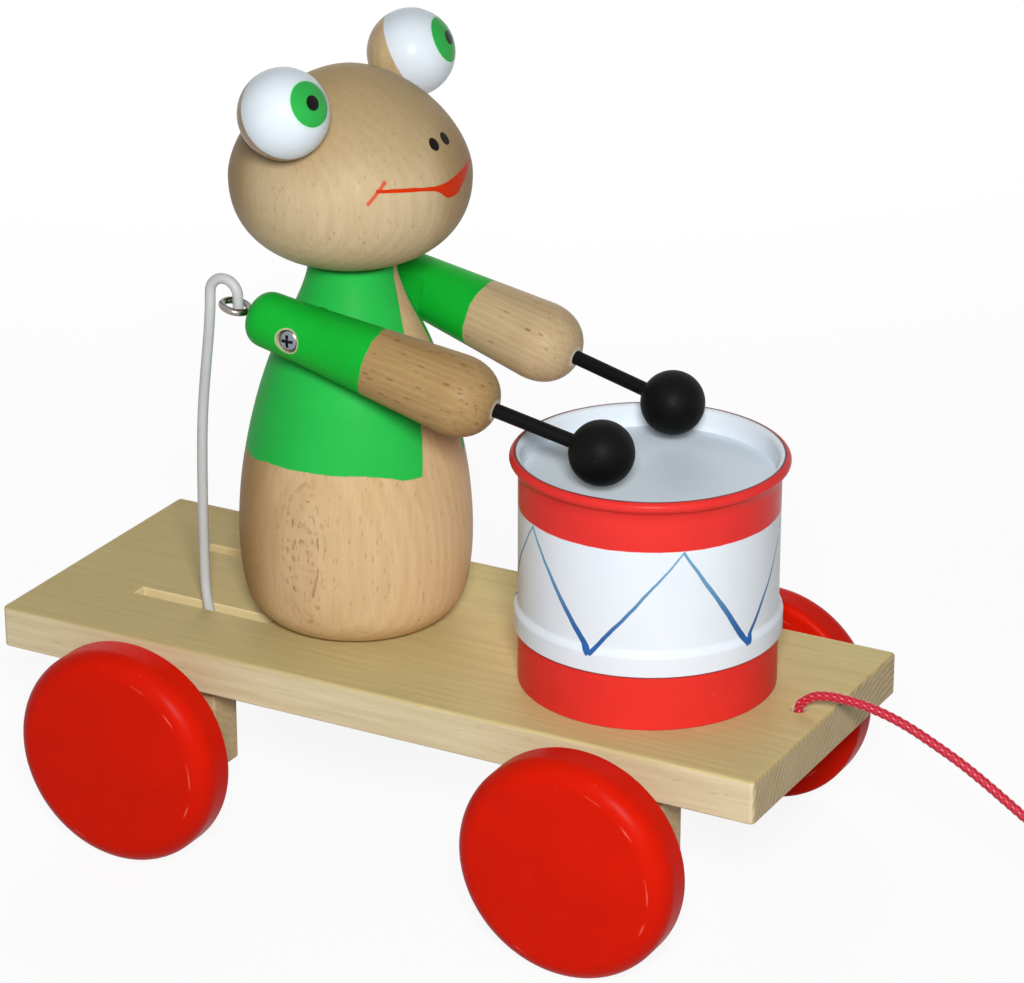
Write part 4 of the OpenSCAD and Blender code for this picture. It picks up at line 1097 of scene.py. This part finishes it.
screw_profile.append((0, head_base + screw_head_h))
washer_bore, washer_r = 1.6, 4
bright_nickel = plated("Nickel plate", tint(158, 153, 146), 0.2)
pivot_zinc = plated("Zinc on the pivot screws", tint(150, 155, 164), 0.24)
# The cross recess gets a darker zinc: painted shade in the recess
recess_shade_zinc = plated("Zinc in the recess, as painted shade", tint(70, 72, 78), 0.5)
stick_black = gloss_paint("Stick black", tint(11, 11, 11), roughness=0.5, dust=0.04, Specular_IOR_Level=0.07)
mallet_black = gloss_paint("Mallet black", tint(11, 11, 11), roughness=0.52, dust=0.06,
                           Specular_IOR_Level=0.07)
washer_paint = gloss_paint("Washer paint", tint(24, 150, 48), roughness=0.4, dust=0.02,
                           Specular_IOR_Level=0.08)
for side, sign, sleeve, flecks, hand_pale, hand_dark in (
        ("right", -1, 23, 0.45, tint(177, 149, 101), tint(140, 107, 67)),
        ("left", 1, 28.3, 0.16, tint(200, 177, 140), tint(167, 140, 101))):
    arm_body = f"{side}_arm"
    shoulder = Vector((pivot.x, sign * pivot.y, pivot.z))
    turn = (0, 90 + arm_slope, -sign * arm_toe)
    place = (Matrix.Translation(shoulder) @ Matrix.Rotation(math.radians(turn[2]), 4, "Z")
             @ Matrix.Rotation(math.radians(turn[1]), 4, "Y"))

    coat = Finish(f"Arm finish {side}", shoulder, turn, Specular_IOR_Level=0.1)
    colour, spot, fibre = grain(coat, hand_pale, hand_dark, (-26, 8), 2.0, flecks, (1.1, 1.1, 3.4))
    colour = coat.over(colour, tint(108, 62, 38), spot, 0.6)
    arm_x, arm_y, along = coat.axes()
    # The sleeve ends at a brushed edge, and the counterbore leaves a pale ring of cut wood round the screw
    bore_axis = place.to_3x3().inverted() @ Vector((0, 1, 0))
    from_screw = coat.vector("LENGTH", coat.vector("CROSS_PRODUCT", coat.place, bore_axis), result="Value")
    sleeve_edge = coat.stray(along, coat.noise((3, 3, 3), detail=2), 1.2)
    painted = coat.both(coat.step(sleeve_edge, sleeve + 0.15, sleeve - 0.15),
                        coat.step(from_screw, 3.5, 3.75))
    colour = coat.mix(painted, colour, satin_green(coat, tint(12, 158, 40), tint(22, 178, 54)))
    colour = coat.over(colour, tint(196, 200, 160), coat.step(from_screw, 3.9, 3.45), 0.8)
    # The hand is paler round the stick's entry
    colour = coat.over(colour, tint(222, 208, 196), coat.step(coat.distance(arm_x, arm_y), 3.6, 2.5),
                       coat.step(along, 50, 54), 0.7)
    open_spot = coat.both(spot, coat.calc("SUBTRACT", 1.0, painted))
    arm_relief = coat.total((0.5, fibre), (-0.6, open_spot), (0.8, painted))
    arm_material = coat.lay(colour, coat.total(0.36, (0.14, fibre)), arm_relief, 0.07)
    arm = turned(f"turned_arm_{side}", heel + shaft + hand, arm_material, 112, place)
    across = facing((0, sign, 0), (shoulder.x, 0, shoulder.z))
    cut(arm, rod_tool(10, face_y, face_cut_r, across, 64), rod_tool(bore_floor, 45, bore_r, across, 64))
    hand_over(arm, arm_body, "green_paint", f"{side}_arm")

    stick = turned(f"drum_stick_{side}", stick_profile, stick_black, 48, place)
    hand_over(stick, arm_body, "black_paint", f"{side}_drumstick")
    mallet = turned(f"mallet_ball_{side}", mallet_profile, mallet_black, 72, place)
    hand_over(mallet, arm_body, "black_paint", f"{side}_mallet")
    screw_eye = formed(f"wire_eye_{side}", wire, [place @ p for p in eye_path], Thickness=eye_wire * mm,
                       Step=0.4 * mm, Sides=16, Material=bright_nickel)
    hand_over(screw_eye, arm_body, "nickel", f"{side}_screw_eye")

    # The pivot screw stays in the body and the arm swings on it, with a washer between
    pivot_screw = turned(f"screw_in_{side}_arm", screw_profile, pivot_zinc, 64)
    screw_face = Matrix.Translation((0, 0, head_base + screw_head_h))
    cut(pivot_screw, *cross_tools(3.6, 1.3, screw_face, recess_shade_zinc))
    move(pivot_screw, across)
    hand_over(pivot_screw, "chassis", "steel", f"{side}_pivot_screw")
    near_y, far_y = sorted(abs(corner.y) for corner in span(f"{side}_pivot_washer"))
    washer_profile = [(washer_bore, near_y), (washer_r, near_y), (washer_r, far_y), (washer_bore, far_y),
                      (washer_bore, near_y)]
    washer = turned(f"wood_washer_{side}", washer_profile, washer_paint, 48, across)
    hand_over(washer, "chassis", "green_paint", f"{side}_pivot_washer")

# Push rods
# Milky plastic rods, bent hot. Each stands on the crank, passes up through its slot and hooks over and down
# through the screw eye of an arm.
coat = Finish("Milky plastic", Specular_IOR_Level=0.15)
ripple = coat.noise((1.2, 1.2, 5), detail=2)
colour = coat.mix(coat.noise((6, 6, 20), detail=2), tint(182, 184, 185), tint(203, 205, 205))
milk = coat.lay(colour, coat.total(0.3, (0.12, ripple)), ripple, 0.04)
rod_d, rod_lean, arch_r, hook_ahead, toe_l, toe_rise = 3, 3.3, 4.5, 0.8, 3.9, 2.2
foot = Vector((crank_pin.x, slot_y, crank_pin.z))
ankle = foot + Vector((0, 0, toe_rise))
ring_mid = pivot - ring_reach * arm_way + Vector((hook_ahead, 0, 0))
rod_top = ring_mid + Vector((-2 * arch_r, 0, 3))
knee = Vector((foot.x - rod_lean - 0.8, foot.y, deck_z + 15))
bow, below_top = Vector((-1.2, 0.6, 0)), Vector((0.65, 0, 10))
leg = smooth([ankle, Vector((foot.x, foot.y, board_low.z - 1)),
              Vector((foot.x - rod_lean, foot.y, deck_z + 1)), knee, (rod_top + knee) / 2 + bow,
              rod_top - below_top, rod_top], 8)
toe = rounded([foot - Vector((0, toe_l, 0)), foot, ankle], 2)
arch = [rod_top + Vector((arch_r + x, 0, z)) for x, z in arc((0, 0), arch_r, 180, 0, 16)[1:-1]]
hook = [ring_mid + Vector((0, 0, z)) for z in (3, 1, -1, -2.2)]
for side, sign in (("right", -1), ("left", 1)):
    path = [Vector((p.x, sign * p.y, p.z)) for p in toe[:-1] + leg + arch + hook]
    rod = formed(f"bent_rod_{side}", wire, path, Thickness=rod_d * mm, Step=0.7 * mm, Sides=20, Material=milk)
    hand_over(rod, f"{side}_rod", "rod_plastic", f"{side}_push_rod")

# Drum
# A disc of beech painted red, screwed to the board, with a tin can pressed over it. The can has a collar
# round its foot and a rolled rim, and is enamelled white with a red band and a blue hand-drawn zigzag.
drum_r, base_h, plug_h, collar, collar_h, shoulder_h, rim_r = 36, 16, 6, 1.2, 8, 2.6, 1.6
tin_t = 1
wall_in = drum_r - tin_t
drum_h = span("drum_shell")[1].z - deck_z
drum_place = Matrix.Translation((drum_x, 0, deck_z))
base_profile = [(0, 0), *arc((drum_r - 0.5, 0.5), 0.5, -90, 0, 4),
                *arc((drum_r - 0.8, base_h - 0.8), 0.8, 0, 90, 5), (wall_in, base_h),
                (wall_in, base_h + plug_h), (0, base_h + plug_h)]
base_paint = gloss_paint("Drum base paint", tint(230, 53, 46), (drum_x, 0, deck_z), roughness=0.34,
                         Specular_IOR_Level=0.06)
drum_base = turned("drum_base_disc", base_profile, base_paint, 160, drum_place)
hand_over(drum_base, "chassis", "drum_red", "drum_base")

rim_out, rim_z = drum_r + rim_r / 2, drum_h - rim_r
shoulder_z = base_h + collar_h - shoulder_h
shell_profile = [(wall_in, base_h), *arc((drum_r + collar - 0.5, base_h + 0.5), 0.5, -90, 0, 5)]
for i in range(15):
    bulge = collar * (1 + math.cos(math.pi * i / 14)) / 2
    shell_profile.append((drum_r + bulge, shoulder_z + shoulder_h * i / 14))
shell_profile += [(drum_r, drum_h * k / 10) for k in (4, 5, 6, 7, 8, 9)]
shell_profile += [(drum_r, rim_z - 1.8 * rim_r), *arc((rim_out, rim_z), rim_r, -75, 180, 28),
                  (wall_in, drum_h - 3 * rim_r), (wall_in, drum_h * 0.6), (wall_in, base_h)]
coat = Finish("Enamelled tin", (drum_x, 0, 0), Specular_IOR_Level=0.08)
tin_angle, tin_z = around_axis(coat)
tin_x, tin_y, _ = coat.axes()
tin_out = coat.distance(tin_x, tin_y)
outside = coat.step(tin_out, drum_r - 0.7, drum_r - 0.4)
cloud = coat.noise((18, 18, 18), detail=2)
wobble = coat.noise((7, 7, 7), detail=2)
# The zigzag: its strokes are heavy and dark below, light and pale above, and thinner on the way up
zig_low, zig_high, light_half, heavy_half, upstroke = 82, 112.3, 0.36, 1.0, 0.66
zig_angles = (-196, -160, -124, -89, -48.6, -16.4, 20, 56, 92, 128, 164, 200)
zig_points = [(a, zig_low if i % 2 else zig_high) for i, a in enumerate(zig_angles)]
zigzag = 0.0
for first, last in zip(zig_points, zig_points[1:]):
    along, beside, half_stroke = drawn_stroke(coat, tin_angle, tin_z, drum_r, first, last)
    heavy = 1.0 if last[1] < first[1] else upstroke
    widths = {0: tin_z, 1: 112.0, 2: 82.0, 3: light_half * heavy, 4: heavy_half * heavy}
    half_width = coat.put("ShaderNodeMapRange", widths).outputs[0]
    past_edge = coat.calc("SUBTRACT", coat.calc("ABSOLUTE", coat.stray(beside, wobble, 0.8)), half_width)
    stroke = coat.both(coat.step(past_edge, 0.12, -0.12), coat.within(along, half_stroke + 0.4, half_stroke))
    zigzag = coat.calc("MAXIMUM", zigzag, stroke)
enamel = coat.mix(cloud, tint(218, 226, 234), tint(230, 236, 242))
blue = coat.mix(coat.step(tin_z, 108, 84), tint(104, 156, 190), tint(44, 94, 158))
colour = coat.over(enamel, blue, zigzag, outside)
# The band's red ends along the top of the rolled rim, with a dark line there: painted shade at the rim's
# inner edge
rim_top = coat.step(tin_z, deck_z + rim_z - 0.2, deck_z + rim_z + 0.2)
past_line = coat.total((1.0, tin_out), 0.5 - drum_r, (drum_r - 0.5 - rim_out, rim_top))
band = coat.both(coat.step(coat.stray(tin_z, wobble, 0.5), 112.6, 112.85), coat.step(past_line, -0.1, 0.1))
colour = coat.mix(band, colour, coat.mix(cloud, tint(214, 46, 42), tint(230, 57, 53)))
colour = coat.over(colour, tint(84, 30, 40), coat.within(past_line, 0.42, 0.24), rim_top, 0.85)
# A dark line where the can sits on the base: painted shade for the gap there
foot_z = deck_z + base_h
colour = coat.over(colour, tint(104, 44, 66), coat.step(tin_z, foot_z + 0.5, foot_z + 0.25), outside, 0.8)
tin = coat.lay(colour, coat.total(0.24, (0.1, cloud)), wobble, 0.03)
shell = turned("tin_shell", shell_profile, tin, 176, drum_place)
hand_over(shell, "chassis", "drum_enamel", "drum_shell", crease=60)

skin_low, skin_high = span("drum_skin")
skin_r = (skin_high.x - skin_low.x) / 2
skin_profile = [(0, skin_low.z), (skin_r, skin_low.z)]
skin_profile += [(skin_r * (1 - i / 12), skin_high.z) for i in range(13)]
coat = Finish("Drum head", (drum_x, 0, 0), Specular_IOR_Level=0.08)
scuff = coat.noise((1.5, 1.5, 1.5), detail=3)
colour = coat.mix(coat.noise((20, 20, 20), detail=3), tint(214, 226, 235), tint(224, 235, 243))
skin = coat.lay(colour, coat.total(0.5, (0.14, scuff)), scuff, 0.02)
drum_head = turned("drum_head_disc", skin_profile, skin, 128, Matrix.Translation((drum_x, 0, 0)))
hand_over(drum_head, "chassis", "drum_enamel", "drum_skin")
